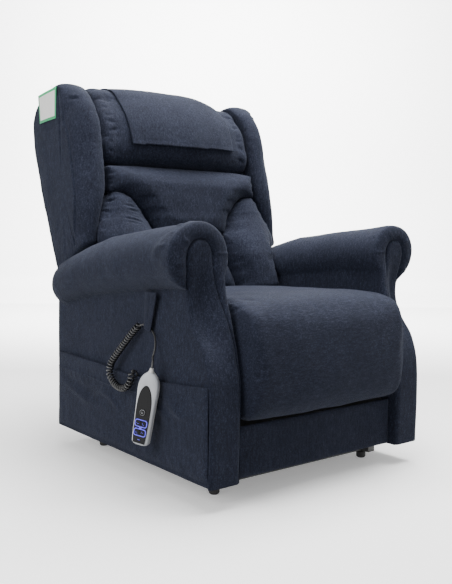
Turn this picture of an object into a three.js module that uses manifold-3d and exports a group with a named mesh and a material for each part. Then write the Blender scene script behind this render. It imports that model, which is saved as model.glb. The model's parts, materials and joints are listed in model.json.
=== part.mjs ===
// Riser recliner armchair: wing back, rolled arms, one-piece seat and leg-rest pad, steel lift base,
// two linear actuators and a wired handset.
// Millimetres, +Z up. The sitter faces -Y, so "right" is the -X side. While the chair is drawn,
// Y = 0 is the foot of the arm fronts and X = 0 the mid-plane; the last lines move the origin under
// the middle of the whole object, on the floor.
import * as THREE from 'three';
import { mergeVertices } from 'three/addons/utils/BufferGeometryUtils.js';
import Module from 'manifold-3d';

const wasm = await Module();
wasm.setup();

// ---- driving dimensions ---------------------------------------------------------------------
const GAP = 0.3;                 // between touching pieces
const PANEL_BOTTOM = 58;         // underside of the upholstered body
const ARM_INNER = 282;           // |x| of the arm's inner face
const ARM_OUTER = 368;           // |x| of the arm's outer side panel
const ARM_REAR = 777;            // rear face of the arms
const ROLL_X = 350;              // |x| of the arm roll's axis
const SEAT_HALF = 268;           // half width of the seat cushion and the leg-rest pad
const SEAT_TOP = 508;
const WING_INNER = 286;
const WING_OUTER = 374;
const BACK_FOOT = [560, 480];    // front of the back cushions where they meet the seat (y, z)
const BACK_LEAN = 9;             // degrees behind vertical
const BACK_DEPTH = 104;          // thickness of the back cushions
const RAIL_IN = 257;             // |x| of the seat rails' inner and outer faces
const RAIL_OUT = 277;
const FOOT_X = 271;              // |x| of the base rails and feet
const FOOT_Y = [110, 667];
const FOOT_HEIGHT = 24;
const TUBE = 26;                 // square steel tube of the base

// pivots, all along X (y, z)
const LIFT_BASE = [600, 100];    // lift arms on the base
const LIFT_CHAIR = [200, 100];   // chair on the lift arms
const LIFT_MOTOR = [110, 78];    // lift actuator on the base
const LIFT_CRANK = [540, 250];   // lift actuator's rod on the crank
const RECLINE = [640, 400];      // backrest on the seat rails
const BACK_MOTOR = [249, 315];   // back actuator on the seat cross bar
const BACK_LEVER = [655, 318];   // back actuator's rod on the backrest lever
const LEG_REAR = [231.7, 349.3]; // rear leg-rest link on the seat rail
const LEG_FRONT = [80, 333.5];   // front leg-rest link on the leg-rest board
const LEG_ELBOW = [366.6, 179.9];// where the two leg-rest links meet
const BACK_MOTOR_X = -110;

// ---- materials ------------------------------------------------------------------------------
const finish = (color, roughness, metalness = 0) =>
  new THREE.MeshStandardMaterial({ color, roughness, metalness });
const navyCloth = finish(0x2b3350, 0.92);
const blackSteel = finish(0x1b1c1f, 0.5, 0.6);
const zincSteel = finish(0xa7abb0, 0.35, 0.9);
const blackPlastic = finish(0x17181a, 0.45);
const silverPlastic = finish(0xc9ccd0, 0.35, 0.2);
const whitePlastic = finish(0xe9e9e6, 0.4);
const blueLight = finish(0x5c68ff, 0.3);
const birchPly = finish(0xb99b6b, 0.7);

const chair = new THREE.Group();

function addMesh(name, geometry, material, parent = chair) {
  const mesh = new THREE.Mesh(geometry, material);
  mesh.name = name;
  parent.add(mesh);
  return mesh;
}

// ---- solids ---------------------------------------------------------------------------------
function toSolid(geometry) {
  const bare = geometry.clone();
  bare.deleteAttribute('normal');
  bare.deleteAttribute('uv');
  const merged = mergeVertices(bare, 1e-3);
  return new wasm.Manifold(new wasm.Mesh({
    numProp: 3,
    vertProperties: new Float32Array(merged.attributes.position.array),
    triVerts: new Uint32Array(merged.index.array),
  }));
}

function toGeometry(solid) {
  const mesh = solid.getMesh();
  const geometry = new THREE.BufferGeometry();
  geometry.setAttribute('position', new THREE.BufferAttribute(mesh.vertProperties, 3));
  geometry.setIndex(new THREE.BufferAttribute(mesh.triVerts, 1));
  geometry.computeVertexNormals();
  return geometry;
}

const join = (...parts) => toGeometry(parts.map(toSolid).reduce((a, b) => a.add(b)));
const cut = (body, ...tools) =>
  toGeometry(tools.map(toSolid).reduce((a, b) => a.subtract(b), toSolid(body)));
const common = (a, b) => toGeometry(toSolid(a).intersect(toSolid(b)));

function box([x0, x1], [y0, y1], [z0, z1]) {
  const geometry = new THREE.BoxGeometry(x1 - x0, y1 - y0, z1 - z0);
  return geometry.translate((x0 + x1) / 2, (y0 + y1) / 2, (z0 + z1) / 2);
}

// [inner, outer] distances from the mid-plane, as an x range on one side
const sideRange = (side, inner, outer) => (side > 0 ? [inner, outer] : [-outer, -inner]);

const toShape = (points) => new THREE.Shape(points.map(([a, b]) => new THREE.Vector2(a, b)));

// a smooth open curve through (a, b) points
const smooth = (points, steps) =>
  new THREE.SplineCurve(points.map(([a, b]) => new THREE.Vector2(a, b)))
    .getPoints(steps).map((p) => [p.x, p.y]);

// outline in (y, z), extruded along X; a bevel rounds the edges inside the outline
function extrudeAcross(shape, [x0, x1], bevel = 0, curveSegments = 5) {
  const geometry = new THREE.ExtrudeGeometry(shape, {
    depth: x1 - x0 - 2 * bevel, steps: 1, curveSegments,
    bevelEnabled: bevel > 0, bevelThickness: bevel, bevelSize: bevel, bevelOffset: -bevel,
    bevelSegments: 1,
  });
  geometry.translate(0, 0, bevel);
  const axes = new THREE.Matrix4().makeBasis(
    new THREE.Vector3(0, 1, 0), new THREE.Vector3(0, 0, 1), new THREE.Vector3(1, 0, 0));
  return geometry.applyMatrix4(axes).translate(x0, 0, 0);
}

// outline in (x, z), extruded along +Y
function extrudeBack(shape, [y0, y1], curveSegments = 8) {
  const geometry = new THREE.ExtrudeGeometry(shape, {
    depth: y1 - y0, steps: 1, curveSegments, bevelEnabled: false,
  });
  return geometry.rotateX(Math.PI / 2).translate(0, y1, 0);
}

const disc = ([y, z], radius, xRange, sides = 12) => {
  const length = xRange[1] - xRange[0];
  const geometry = new THREE.CylinderGeometry(radius, radius, length, sides);
  return geometry.rotateZ(Math.PI / 2).translate((xRange[0] + xRange[1]) / 2, y, z);
};

// a bar with round ends from a to b, in (y, z)
function capsule([ay, az], [by, bz], radius, ends) {
  const angle = Math.atan2(bz - az, by - ay);
  const shape = new THREE.Shape();
  shape.absarc(by, bz, radius, angle - Math.PI / 2, angle + Math.PI / 2, false);
  shape.absarc(ay, az, radius, angle + Math.PI / 2, angle + 1.5 * Math.PI, false);
  return { shape, curveSegments: ends };
}

function barAcross(a, b, radius, xRange, ends = 5) {
  const { shape, curveSegments } = capsule(a, b, radius, ends);
  return extrudeAcross(shape, xRange, 0, curveSegments);
}

function roundedRectangle(width, height, radius, cx = 0, cy = 0) {
  const x = width / 2 - radius;
  const y = height / 2 - radius;
  const shape = new THREE.Shape();
  shape.absarc(cx + x, cy - y, radius, -Math.PI / 2, 0, false);
  shape.absarc(cx + x, cy + y, radius, 0, Math.PI / 2, false);
  shape.absarc(cx - x, cy + y, radius, Math.PI / 2, Math.PI, false);
  shape.absarc(cx - x, cy - y, radius, Math.PI, 1.5 * Math.PI, false);
  return shape;
}

// a closed body through rings of equal point counts, capped at both ends
function loft(rings) {
  const count = rings[0].length;
  const positions = rings.flat().flatMap((p) => [p.x, p.y, p.z]);
  const index = [];
  for (let r = 0; r + 1 < rings.length; r += 1) {
    for (let i = 0; i < count; i += 1) {
      const a = r * count + i;
      const b = r * count + ((i + 1) % count);
      index.push(a, b, a + count, b, b + count, a + count);
    }
  }
  for (const [first, flip] of [[0, true], [(rings.length - 1) * count, false]]) {
    for (let i = 1; i + 1 < count; i += 1) {
      const fan = flip ? [first, first + i + 1, first + i] : [first, first + i, first + i + 1];
      index.push(...fan);
    }
  }
  const geometry = new THREE.BufferGeometry();
  geometry.setAttribute('position', new THREE.Float32BufferAttribute(positions, 3));
  geometry.setIndex(index);
  geometry.computeVertexNormals();
  return geometry;
}

// a round cord or coil along a curve through the points
function cordAlong(points, radius, sides, steps) {
  const path = new THREE.CatmullRomCurve3(points.map((p) => new THREE.Vector3(...p)), false,
    'centripetal');
  const section = new THREE.Shape();
  for (let i = 0; i < sides; i += 1) {
    const angle = (2 * Math.PI * i) / sides;
    const point = [radius * Math.cos(angle), radius * Math.sin(angle)];
    if (i === 0) section.moveTo(...point);
    else section.lineTo(...point);
  }
  section.closePath();
  return new THREE.ExtrudeGeometry(section, { steps, extrudePath: path, bevelEnabled: false });
}

// ---- lift base (stands on the floor) ----------------------------------------------------------
const RAIL_Z = [FOOT_HEIGHT + GAP, FOOT_HEIGHT + GAP + TUBE];
const ON_CROSS = RAIL_Z[1] + GAP;
const BASE_SIDE = [250, 256];    // |x| of the base brackets and of the chair's hangers
const PIN_R = 8;
const PIN_HOLE_R = 9;

function addBase() {
  const profile = [new THREE.Vector2(0, 0), new THREE.Vector2(11, 0), new THREE.Vector2(14, 4),
    new THREE.Vector2(14, FOOT_HEIGHT - 6), new THREE.Vector2(9, FOOT_HEIGHT - 3),
    new THREE.Vector2(9, FOOT_HEIGHT), new THREE.Vector2(0, FOOT_HEIGHT)];
  for (const [side, hand] of [[-1, 'right'], [1, 'left']]) {
    const across = [side * FOOT_X - TUBE / 2, side * FOOT_X + TUBE / 2];
    addMesh(`base_rail_${hand}`, box(across, [70, 710], RAIL_Z), blackSteel);
    for (const [y, end] of [[FOOT_Y[0], 'front'], [FOOT_Y[1], 'rear']]) {
      const foot = new THREE.LatheGeometry(profile, 20).rotateX(Math.PI / 2);
      addMesh(`foot_${end}_${hand}`, foot, blackPlastic).position.set(side * FOOT_X, y, 0);
    }
    const plate = join(
      barAcross(LIFT_BASE, LIFT_BASE, 22, sideRange(side, ...BASE_SIDE)),
      extrudeAcross(toShape([[570, ON_CROSS], [665, ON_CROSS], [620, 108], [580, 108]]),
        sideRange(side, ...BASE_SIDE)));
    const hole = disc(LIFT_BASE, PIN_HOLE_R, sideRange(side, 240, 266));
    addMesh(`lift_bracket_${hand}`, cut(plate, hole), blackSteel);
  }
  const inside = FOOT_X - TUBE / 2 - GAP;
  const frontBar = box([-inside, inside], [FOOT_Y[0] - TUBE / 2, FOOT_Y[0] + TUBE / 2], RAIL_Z);
  const clevis = [-1, 1].map((side) => join(
    barAcross(LIFT_MOTOR, LIFT_MOTOR, 13, sideRange(side, 17, 23)),
    box(sideRange(side, 17, 23), [97, 123], [RAIL_Z[1] - 1, LIFT_MOTOR[1]])));
  addMesh('base_cross_front',
    join(frontBar, ...clevis, disc(LIFT_MOTOR, 6, [-23, 23])), blackSteel);
  addMesh('base_cross_rear', box([-inside, inside], [640, 666], RAIL_Z), blackSteel);
  const supply = cut(
    extrudeBack(roundedRectangle(140, 48, 8, 130, ON_CROSS + 24), [628, 704], 3),
    box([150, 172], [694, 710], [ON_CROSS + 15, ON_CROSS + 31]));
  addMesh('power_supply', supply, blackPlastic);
}

// ---- lift arms and their actuator -------------------------------------------------------------
function addLiftArms() {
  const plate = [232, 248];
  for (const [side, hand] of [[-1, 'right'], [1, 'left']]) {
    addMesh(`lift_arm_${hand}`, join(
      barAcross(LIFT_CHAIR, LIFT_BASE, 20, sideRange(side, ...plate)),
      disc(LIFT_BASE, PIN_R, sideRange(side, plate[1] - 1, 259)),
      disc(LIFT_CHAIR, PIN_R, sideRange(side, plate[1] - 1, 259))), blackSteel);
  }
  const ears = [-1, 1].map((side) => join(
    barAcross(LIFT_BASE, LIFT_CRANK, 14, sideRange(side, 14, 22)),
    disc(LIFT_BASE, 24, sideRange(side, 13.8, 22.2))));
  addMesh('lift_crank', join(disc(LIFT_BASE, 15, [-plate[0] + GAP, plate[0] - GAP]), ...ears,
    disc(LIFT_CRANK, 7, [-22, 22])), blackSteel);
}

const ROD_R = 8.5;
const BORE_R = 17.2;             // wide, as the rod's turn is coupled to the housing's

// a linear actuator from its fixed pivot to its rod pivot, drawn along local +Y and turned
function addActuator(names, from, to, x, mouth, rodLength, canSide) {
  const length = Math.hypot(to[0] - from[0], to[1] - from[1]);
  const place = new THREE.Group();
  place.position.set(x, from[0], from[1]);
  place.rotation.x = Math.atan2(to[1] - from[1], to[0] - from[0]);
  chair.add(place);
  const tube = (r, y0, y1, z = 0, sides = 14) =>
    new THREE.CylinderGeometry(r, r, y1 - y0, sides).translate(0, (y0 + y1) / 2, z);
  const body = cut(
    join(disc([0, 0], 13, [-12, 12]), box([-9, 9], [0, 22], [-9, 9]),
      box([-27, 27], [20, 78], [-24, 24]), tube(BORE_R + 4, 76, mouth),
      box([-26, 26], [24, 76], canSide > 0 ? [20, 70] : [-70, -20]),
      tube(25, 60, 178, canSide * 46)),
    disc([0, 0], 6.6, [-20, 20]), tube(BORE_R, 100, mouth + 5));
  addMesh(names[0], body, blackPlastic, place);
  const rod = cut(
    join(tube(ROD_R, length - rodLength, length - 8, 0, 12), disc([length, 0], 15, [-12, 12])),
    disc([length, 0], 7.8, [-20, 20]));
  addMesh(names[1], rod, zincSteel, place);
}

// ---- seat frame -------------------------------------------------------------------------------
const RAIL_TOP = 366;
const RAIL_LOW = 330;
const DECK = [RAIL_TOP + GAP, RAIL_TOP + GAP + 14];
const REAR_LINK_X = [214, 222];  // |x| of the rear leg-rest links
const FRONT_LINK_X = [202, 210];
const ELBOW_PIN_R = 5.2;         // the elbow pin has play, as the links' turns are coupled
const ELBOW_HOLE_R = 10.3;

function addSeatFrame() {
  for (const [side, hand] of [[-1, 'right'], [1, 'left']]) {
    const rail = sideRange(side, RAIL_IN, RAIL_OUT);
    addMesh(`seat_rail_${hand}`, join(
      extrudeAcross(toShape([[66, RAIL_LOW], [672, RAIL_LOW], [660, RECLINE[1]],
        [622, RECLINE[1]], [604, RAIL_TOP], [66, RAIL_TOP]]), rail),
      disc(RECLINE, 20, rail),
      disc(RECLINE, PIN_R, sideRange(side, 242, RAIL_IN + 1)),
      disc(LEG_REAR, 6.4, sideRange(side, REAR_LINK_X[0] - 2, RAIL_IN + 1))), blackSteel);
    const hanger = extrudeAcross(toShape([[182, 92], [218, 92], [262, RAIL_LOW + 2],
      [262, RAIL_TOP - 4], [150, RAIL_TOP - 4], [150, RAIL_LOW + 2]]),
    sideRange(side, ...BASE_SIDE));
    const legPinRelief = disc(LEG_REAR, 8, sideRange(side, 240, 266));
    const eye = disc(LIFT_CHAIR, 20, sideRange(side, ...BASE_SIDE));
    addMesh(`hanger_${hand}`, cut(join(hanger, eye),
      disc(LIFT_CHAIR, PIN_HOLE_R, sideRange(side, 240, 266)), legPinRelief), blackSteel);
  }
  const inner = BASE_SIDE[0] - GAP;
  const clevis = [-1, 1].map((side) => {
    const at = sideRange(side, 17, 23).map((x) => x + BACK_MOTOR_X);
    return join(barAcross(BACK_MOTOR, BACK_MOTOR, 13, at),
      box(at, [238, 260], [BACK_MOTOR[1], RAIL_LOW + 8]));
  });
  const bar = box([-inner, inner], [274, 300], [RAIL_LOW + 20, RAIL_TOP]);
  const tongue = box([BACK_MOTOR_X - 23, BACK_MOTOR_X + 23], [238, 276],
    [RAIL_LOW + 20, RAIL_TOP]);
  const neck = box([BACK_MOTOR_X - 23, BACK_MOTOR_X + 23], [238, 260],
    [RAIL_LOW + 6, RAIL_LOW + 22]);
  addMesh('seat_cross_bar', join(bar, tongue, neck, ...clevis,
    disc(BACK_MOTOR, 6, [BACK_MOTOR_X - 23, BACK_MOTOR_X + 23])), blackSteel);
  addMesh('seat_deck', box([-RAIL_OUT + 2, RAIL_OUT - 2], [70, 560], DECK), birchPly);
  const cushion = new THREE.Shape();
  cushion.moveTo(64, DECK[1] + GAP);
  cushion.lineTo(552, DECK[1] + GAP);
  cushion.quadraticCurveTo(558, 440, 548, 486);
  cushion.quadraticCurveTo(400, SEAT_TOP, 200, SEAT_TOP);
  cushion.quadraticCurveTo(100, SEAT_TOP - 1, 64, 500);
  addMesh('seat_cushion', extrudeAcross(cushion, [-SEAT_HALF, SEAT_HALF], 10), navyCloth);
}

// ---- leg rest ---------------------------------------------------------------------------------
function addLegRest() {
  const pad = new THREE.Shape();
  pad.moveTo(47, 230);
  pad.quadraticCurveTo(44, 206, 10, 204);
  pad.quadraticCurveTo(-20, 206, -30, 260);
  pad.quadraticCurveTo(-46, 340, -43, 380);
  pad.quadraticCurveTo(-40, 470, 0, 494);
  pad.quadraticCurveTo(30, 502, 60, 500);
  pad.lineTo(60, 464);
  pad.lineTo(47, 450);
  addMesh('leg_rest_pad', extrudeAcross(pad, [-SEAT_HALF + 2, SEAT_HALF - 2], 8), navyCloth);
  const lugs = [-1, 1].flatMap((side) => [
    extrudeAcross(toShape([[58, 300], [LEG_FRONT[0], LEG_FRONT[1] - 12],
      [LEG_FRONT[0] + 11, LEG_FRONT[1]], [LEG_FRONT[0], LEG_FRONT[1] + 12], [58, 372]]),
    sideRange(side, 192, 199)),
    disc(LEG_FRONT, 6.4, sideRange(side, 198, 213))]);
  addMesh('leg_rest_board', join(box([-250, 250], [47.3, 60], [228, 446]), ...lugs), birchPly);
  for (const [side, hand] of [[-1, 'right'], [1, 'left']]) {
    addMesh(`leg_link_rear_${hand}`, cut(
      barAcross(LEG_REAR, LEG_ELBOW, 14, sideRange(side, ...REAR_LINK_X)),
      disc(LEG_REAR, 7.2, sideRange(side, 190, 240)),
      disc(LEG_ELBOW, ELBOW_HOLE_R, sideRange(side, 190, 240))), blackSteel);
    addMesh(`leg_link_front_${hand}`, cut(
      join(barAcross(LEG_FRONT, LEG_ELBOW, 11, sideRange(side, ...FRONT_LINK_X)),
        disc(LEG_ELBOW, ELBOW_PIN_R, sideRange(side, 209, 224))),
      disc(LEG_FRONT, 7.2, sideRange(side, 190, 240))), blackSteel);
  }
}

// ---- arms -------------------------------------------------------------------------------------
// front edge of the arm seen from the side, bottom to top: a long S
const ARM_FRONT = smooth([[-3, PANEL_BOTTOM], [-2, 180], [4, 300], [23, 364], [59, 412],
  [80, 460], [85, 520], [68, 585], [61, 655]], 20);
const FACING = 11;               // thickness of the padded facing

// height of the roll's axis and its half sizes at a few stations along Y
const ROLL = [
  { y: 60, z: 595, half: [76, 76] },
  { y: 84, z: 594, half: [78, 78] },
  { y: 290, z: 576, half: [78, 79] },
  { y: 450, z: 559, half: [77, 80] },
  { y: 560, z: 541, half: [75, 74] },
  { y: 650, z: 517, half: [70, 60] },
  { y: 710, z: 494, half: [60, 44] },
  { y: 742, z: 478, half: [46, 28] },
];

function armRoll(side) {
  const sides = 16;
  return loft(ROLL.map(({ y, z, half }) => Array.from({ length: sides }, (_, i) => {
    const angle = (-2 * Math.PI * i) / sides;
    return new THREE.Vector3(side * ROLL_X + half[0] * Math.cos(angle), y,
      z + half[1] * Math.sin(angle));
  })));
}

function addArms() {
  // everything in front of the facings' back faces
  const behindFacing = ARM_FRONT.map(([y, z]) => [y + FACING + GAP, z]);
  const [foot, top] = [behindFacing[0], behindFacing[behindFacing.length - 1]];
  const ahead = [[foot[0], foot[1] - 20], ...behindFacing, [top[0], top[1] + 40],
    [-90, top[1] + 40], [-90, foot[1] - 20]];
  for (const [side, hand] of [[-1, 'right'], [1, 'left']]) {
    const outline = [[-20, PANEL_BOTTOM], [-20, 600], [92, 600], [300, 590], [560, 555],
      [700, 500], [745, 470], [ARM_REAR, 440], [ARM_REAR, PANEL_BOTTOM]];
    const panel = extrudeAcross(toShape(outline.reverse()),
      sideRange(side, ARM_INNER, ARM_OUTER));
    const front = extrudeAcross(toShape(ahead), sideRange(side, 240, 460));
    addMesh(`arm_${hand}`, cut(join(panel, armRoll(side)), front), navyCloth);
    // keyhole outline of the facing in (x, z), as wide as the arm below and an arch in the roll
    const seen = new THREE.Shape();
    seen.moveTo(side * (ARM_INNER + 1), PANEL_BOTTOM);
    seen.lineTo(side * ARM_OUTER, PANEL_BOTTOM);
    seen.lineTo(side * ARM_OUTER, 530);
    seen.quadraticCurveTo(side * 388, 560, side * 390, 592);
    seen.quadraticCurveTo(side * 386, 640, side * 345, 642);
    seen.quadraticCurveTo(side * 300, 640, side * (ARM_INNER + 4), 592);
    seen.lineTo(side * (ARM_INNER + 1), 560);
    const strip = [...ARM_FRONT, ...ARM_FRONT.map(([y, z]) => [y + FACING, z]).reverse()];
    addMesh(`arm_facing_${hand}`, common(
      extrudeAcross(toShape(strip), sideRange(side, ARM_INNER - 5, 400)),
      extrudeBack(seen, [-30, 140])), navyCloth);
  }
}

// ---- lower body panels and the side pocket ------------------------------------------------------
const POCKET = { inner: ARM_OUTER + GAP + 0.2, gap: 8, wall: 2.5 };
const POCKET_OUTER = POCKET.inner + POCKET.gap + POCKET.wall;

function addPanels() {
  addMesh('kickboard', box([-280, 280], [14, 30], [PANEL_BOTTOM + 3, 185]), navyCloth);
  addMesh('rear_panel', box([-281, 281], [757, 776], [PANEL_BOTTOM + 2, 330]), navyCloth);
  const outline = toShape([[22, 70], [768, 70], [768, 286], [30, 292]]);
  const hollow = toShape([[26, 74], [764, 74], [764, 300], [26, 300]]);
  const pouch = cut(
    extrudeAcross(outline, [-POCKET_OUTER, -POCKET.inner]),
    extrudeAcross(hollow, [-POCKET_OUTER + POCKET.wall, -POCKET.inner + 5]));
  addMesh('side_pocket', pouch, navyCloth);
  const tab = toShape([[208, 499], [242, 400], [270, 408], [262, 499]]);
  addMesh('cord_tab', extrudeAcross(tab, [-ARM_OUTER - 11.5, -ARM_OUTER - 9]), navyCloth);
}

// ---- backrest -----------------------------------------------------------------------------------
// In this group X is across, Y runs up the back and Z points out of its front face.
const back = new THREE.Group();
back.position.set(0, ...BACK_FOOT);
back.rotation.x = THREE.MathUtils.degToRad(90 - BACK_LEAN);
chair.add(back);

// front half of the head cushion and its top, seen from the side (y, z)
const HEAD_FRONT = smooth([[634, 866], [626, 890], [630, 930], [640, 975], [660, 1020],
  [695, 1066], [740, 1096], [800, 1105], [850, 1099], [880, 1080]], 20);

function offsetCurve(points, distance) {
  return points.map(([a, b], i) => {
    const before = points[Math.max(i - 1, 0)];
    const after = points[Math.min(i + 1, points.length - 1)];
    const run = Math.hypot(after[0] - before[0], after[1] - before[1]);
    const normal = [-(after[1] - before[1]) / run, (after[0] - before[0]) / run];
    return [a + distance * normal[0], b + distance * normal[1]];
  });
}

function backPad(name, outline, bevel) {
  const geometry = new THREE.ExtrudeGeometry(toShape(outline), {
    depth: BACK_DEPTH - 2 * bevel, steps: 1, bevelEnabled: true, bevelThickness: bevel,
    bevelSize: bevel, bevelOffset: -bevel, bevelSegments: 1,
  });
  addMesh(name, geometry.translate(0, 0, bevel - BACK_DEPTH), navyCloth, back);
}

// outer edge of a bolster (x, up the back): between the arms, then out over their rolls
const BOLSTER_OUTER = [[262, 8], [263, 116], [290, 140], [322, 152], [331, 172], [324, 212],
  [306, 252]];

function addBackCushions() {
  const head = [...HEAD_FRONT, [872, 1062], [800, 1056], [752, 1052], [724, 866]];
  addMesh('head_cushion', extrudeAcross(toShape(head.reverse()), [-281, 281]), navyCloth);
  // right half of the lumbar cushion's lower edge: a step in under the shoulders, then a stem
  const edge = smooth([[279, 300], [252, 303], [222, 294], [190, 266], [164, 228], [147, 196],
    [136, 178]], 12);
  const half = [[279, 380], ...edge, [139, 120], [146, 60], [150, 8]];
  const mirrored = half.map(([x, w]) => [-x, w]).reverse();
  backPad('lumbar_cushion', [...half, ...mirrored].reverse(), 6);
  for (const [side, hand] of [[-1, 'right'], [1, 'left']]) {
    const seam = 4;
    const inner = offsetCurve([...edge, [139, 120], [146, 60], [150, 8]], seam)
      .filter(([x]) => x < 274);
    const outline = [...inner, ...BOLSTER_OUTER, [278, 296 - seam]];
    const placed = outline.map(([x, w]) => [side * x, w]);
    backPad(`bolster_${hand}`, side > 0 ? placed.reverse() : placed, 5);
  }
  const flap = HEAD_FRONT.filter(([y, z]) => z > 921 && y < 842);
  const skin = [...offsetCurve(flap, 0.8), ...offsetCurve(flap, 4.6).reverse()];
  addMesh('head_flap', extrudeAcross(toShape(skin), [-200, 200]), navyCloth);
}

// wing outline from the side (y, z): front edge, top, rear edge, then the foot above the arm roll
const WING = [...smooth([[604, 622], [602, 650], [602, 720], [607, 785], [618, 837], [634, 905],
  [648, 975], [662, 1015], [684, 1050], [713, 1078], [777, 1106], [850, 1094], [910, 1064],
  [945, 1030], [955, 985], [934, 881], [865, 706], [790, 545]], 32),
[775, 527], [759, 522], [724, 542], [686, 565], [650, 588], [618, 606]];

function addBackShell() {
  for (const [side, hand] of [[-1, 'right'], [1, 'left']]) {
    const wing = extrudeAcross(toShape([...WING].reverse()),
      sideRange(side, WING_INNER, WING_OUTER), 10);
    // room for the bolster, which lies in front of the wing's foot
    const room = [[270, 90], [338, 90], [338, 176], [331, 216], [312, 258], [284, 304], [270, 304]]
      .map(([x, w]) => [side * x, w]);
    const notch = new THREE.ExtrudeGeometry(toShape(side > 0 ? room : room.reverse()), {
      depth: BACK_DEPTH + 60, steps: 1, bevelEnabled: false,
    }).translate(0, 0, -BACK_DEPTH - GAP);
    back.updateMatrix();
    addMesh(`wing_${hand}`, cut(wing, notch.applyMatrix4(back.matrix)), navyCloth);
  }
  const outer = [[700, 412], [742, 458], [784, 546], [857, 706], [925, 881], [946, 985],
    [936, 1036], [906, 1068]];
  const shell = [...outer, ...offsetCurve(outer, 14).reverse()];
  const seen = toShape([[-266, 390], [266, 390], [266, 575], [284, 596], [284, 1100],
    [-284, 1100], [-284, 596], [-266, 575]]);
  addMesh('back_cover', common(extrudeAcross(toShape(shell), [-284, 284]),
    extrudeBack(seen, [600, 1000])), navyCloth);
}

function addBackFrame() {
  const [lean, sine] = [Math.cos, Math.sin].map((f) => f(THREE.MathUtils.degToRad(BACK_LEAN)));
  // a (y, z) point on the chair, seen in the back group's (up, out) directions
  const inBack = ([y, z]) => {
    const dy = y - BACK_FOOT[0];
    const dz = z - BACK_FOOT[1];
    return [dy * sine + dz * lean, -dy * lean + dz * sine];
  };
  const front = -BACK_DEPTH - 3;
  const board = box([-238, 238], [-30, 590], [front - 18, front]);
  const [pivot, lever] = [RECLINE, BACK_LEVER].map(inBack);
  const lugs = [-1, 1].map((side) => join(
    box(sideRange(side, 236, 244), [-30, 90], [front - 18, front]),
    extrudeAcross(toShape([[-30, front], [-30, front - 18], [-66, front - 18], [-72, -94],
      [-50, -80]].reverse()), sideRange(side, 246, 254)),
    box(sideRange(side, 236, 254), [-30, 60], [front - 18, front]),
    disc(pivot, 17, sideRange(side, 246, 254))));
  const levers = [-1, 1].map((side) => barAcross([-20, front - 9], lever, 11,
    sideRange(side, 14, 20).map((x) => x + BACK_MOTOR_X)));
  const pin = disc(lever, 7, [BACK_MOTOR_X - 20, BACK_MOTOR_X + 20]);
  const holes = [-1, 1].map((side) => disc(pivot, PIN_HOLE_R, sideRange(side, 240, 256)));
  addMesh('back_frame', cut(join(board, ...lugs, ...levers, pin), ...holes), birchPly, back);
}

// ---- handset and its cord -----------------------------------------------------------------------
// In this group X is across the handset, Y runs up it and Z points out of its face.
const HANDSET_AT = [-410, 211, 214];
const HANDSET_YAW = 60;          // its face looks out and forward
const HANDSET_TILT = -9;         // its foot hangs to the rear
const handset = new THREE.Group();
handset.matrix
  .makeTranslation(...HANDSET_AT)
  .multiply(new THREE.Matrix4().makeRotationZ(THREE.MathUtils.degToRad(-HANDSET_YAW)))
  .multiply(new THREE.Matrix4().makeRotationX(Math.PI / 2))
  .multiply(new THREE.Matrix4().makeRotationZ(THREE.MathUtils.degToRad(HANDSET_TILT)));
handset.matrix.decompose(handset.position, handset.quaternion, handset.scale);
chair.add(handset);

// anticlockwise outline of the handset: rounded foot, widest above the middle, narrow neck
function handsetOutline() {
  const right = smooth([[17, -90], [23, -84], [25.5, -40], [27, 10], [28.5, 45], [27.5, 66],
    [21, 84], [9, 94]], 13);
  return [...right, ...right.map(([x, y]) => [-x, y]).reverse()];
}

function layer(shape, z0, z1, segments = 5) {
  return new THREE.ExtrudeGeometry(shape, {
    depth: z1 - z0, steps: 1, curveSegments: segments, bevelEnabled: false,
  }).translate(0, 0, z0);
}

const RELIEF_FOOT = 94.4;        // just above the shells
const RELIEF_LENGTH = 10;

function addHandset() {
  addMesh('handset_back_shell', layer(toShape(handsetOutline()), -12, -0.2), whitePlastic, handset);
  // the front shell narrows towards its face in rounded steps: [height, share of the outline]
  const steps = [[0.2, 1], [7, 1], [10.4, 0.96], [12.2, 0.87]];
  const rings = steps.map(([z, share]) => handsetOutline().map(([x, y]) =>
    new THREE.Vector3(x * share, y * (1 - (1 - share) * 0.3), z)));
  addMesh('handset_front_shell', loft(rings), silverPlastic, handset);
  const arch = new THREE.Shape();
  arch.moveTo(-17, -84);
  arch.lineTo(17, -84);
  arch.lineTo(20, -20);
  arch.quadraticCurveTo(21, 42, 0, 62);
  arch.quadraticCurveTo(-21, 42, -20, -20);
  addMesh('handset_panel', layer(arch, 12.5, 14), blackPlastic, handset);
  const frames = [-34, -57].map((y) => cut(
    layer(roundedRectangle(34, 19, 6, 0, y), 14.3, 15.6, 3),
    layer(roundedRectangle(30, 15, 4.5, 0, y), 13, 17, 3)));
  const bridge = box([-3, 3], [-49, -42], [14.3, 15]);
  addMesh('handset_light_frame', join(...frames, bridge), blueLight, handset);
  const keyPlaces = [['back_down', -7.2, -34], ['back_up', 7.2, -34], ['lift_down', -7.2, -57],
    ['lift_up', 7.2, -57]];
  for (const [name, x, y] of keyPlaces) {
    const cap = layer(roundedRectangle(12.6, 12.6, 3, x, y), 15.4, 17.4, 3);
    addMesh(`key_${name}`, cap, blackPlastic, handset);
  }
  const ring = new THREE.CylinderGeometry(6.5, 7, 2, 24).rotateX(Math.PI / 2);
  addMesh('key_stop', ring.translate(0, -6, 16.4), blackPlastic, handset);
  const relief = new THREE.LatheGeometry([new THREE.Vector2(0, 0), new THREE.Vector2(6.5, 0),
    new THREE.Vector2(6.5, 3), new THREE.Vector2(5, 4.5), new THREE.Vector2(4.5, RELIEF_LENGTH),
    new THREE.Vector2(0, RELIEF_LENGTH)], 16).translate(0, RELIEF_FOOT, 0);
  addMesh('handset_cord_relief', relief, whitePlastic, handset);
}

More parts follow.
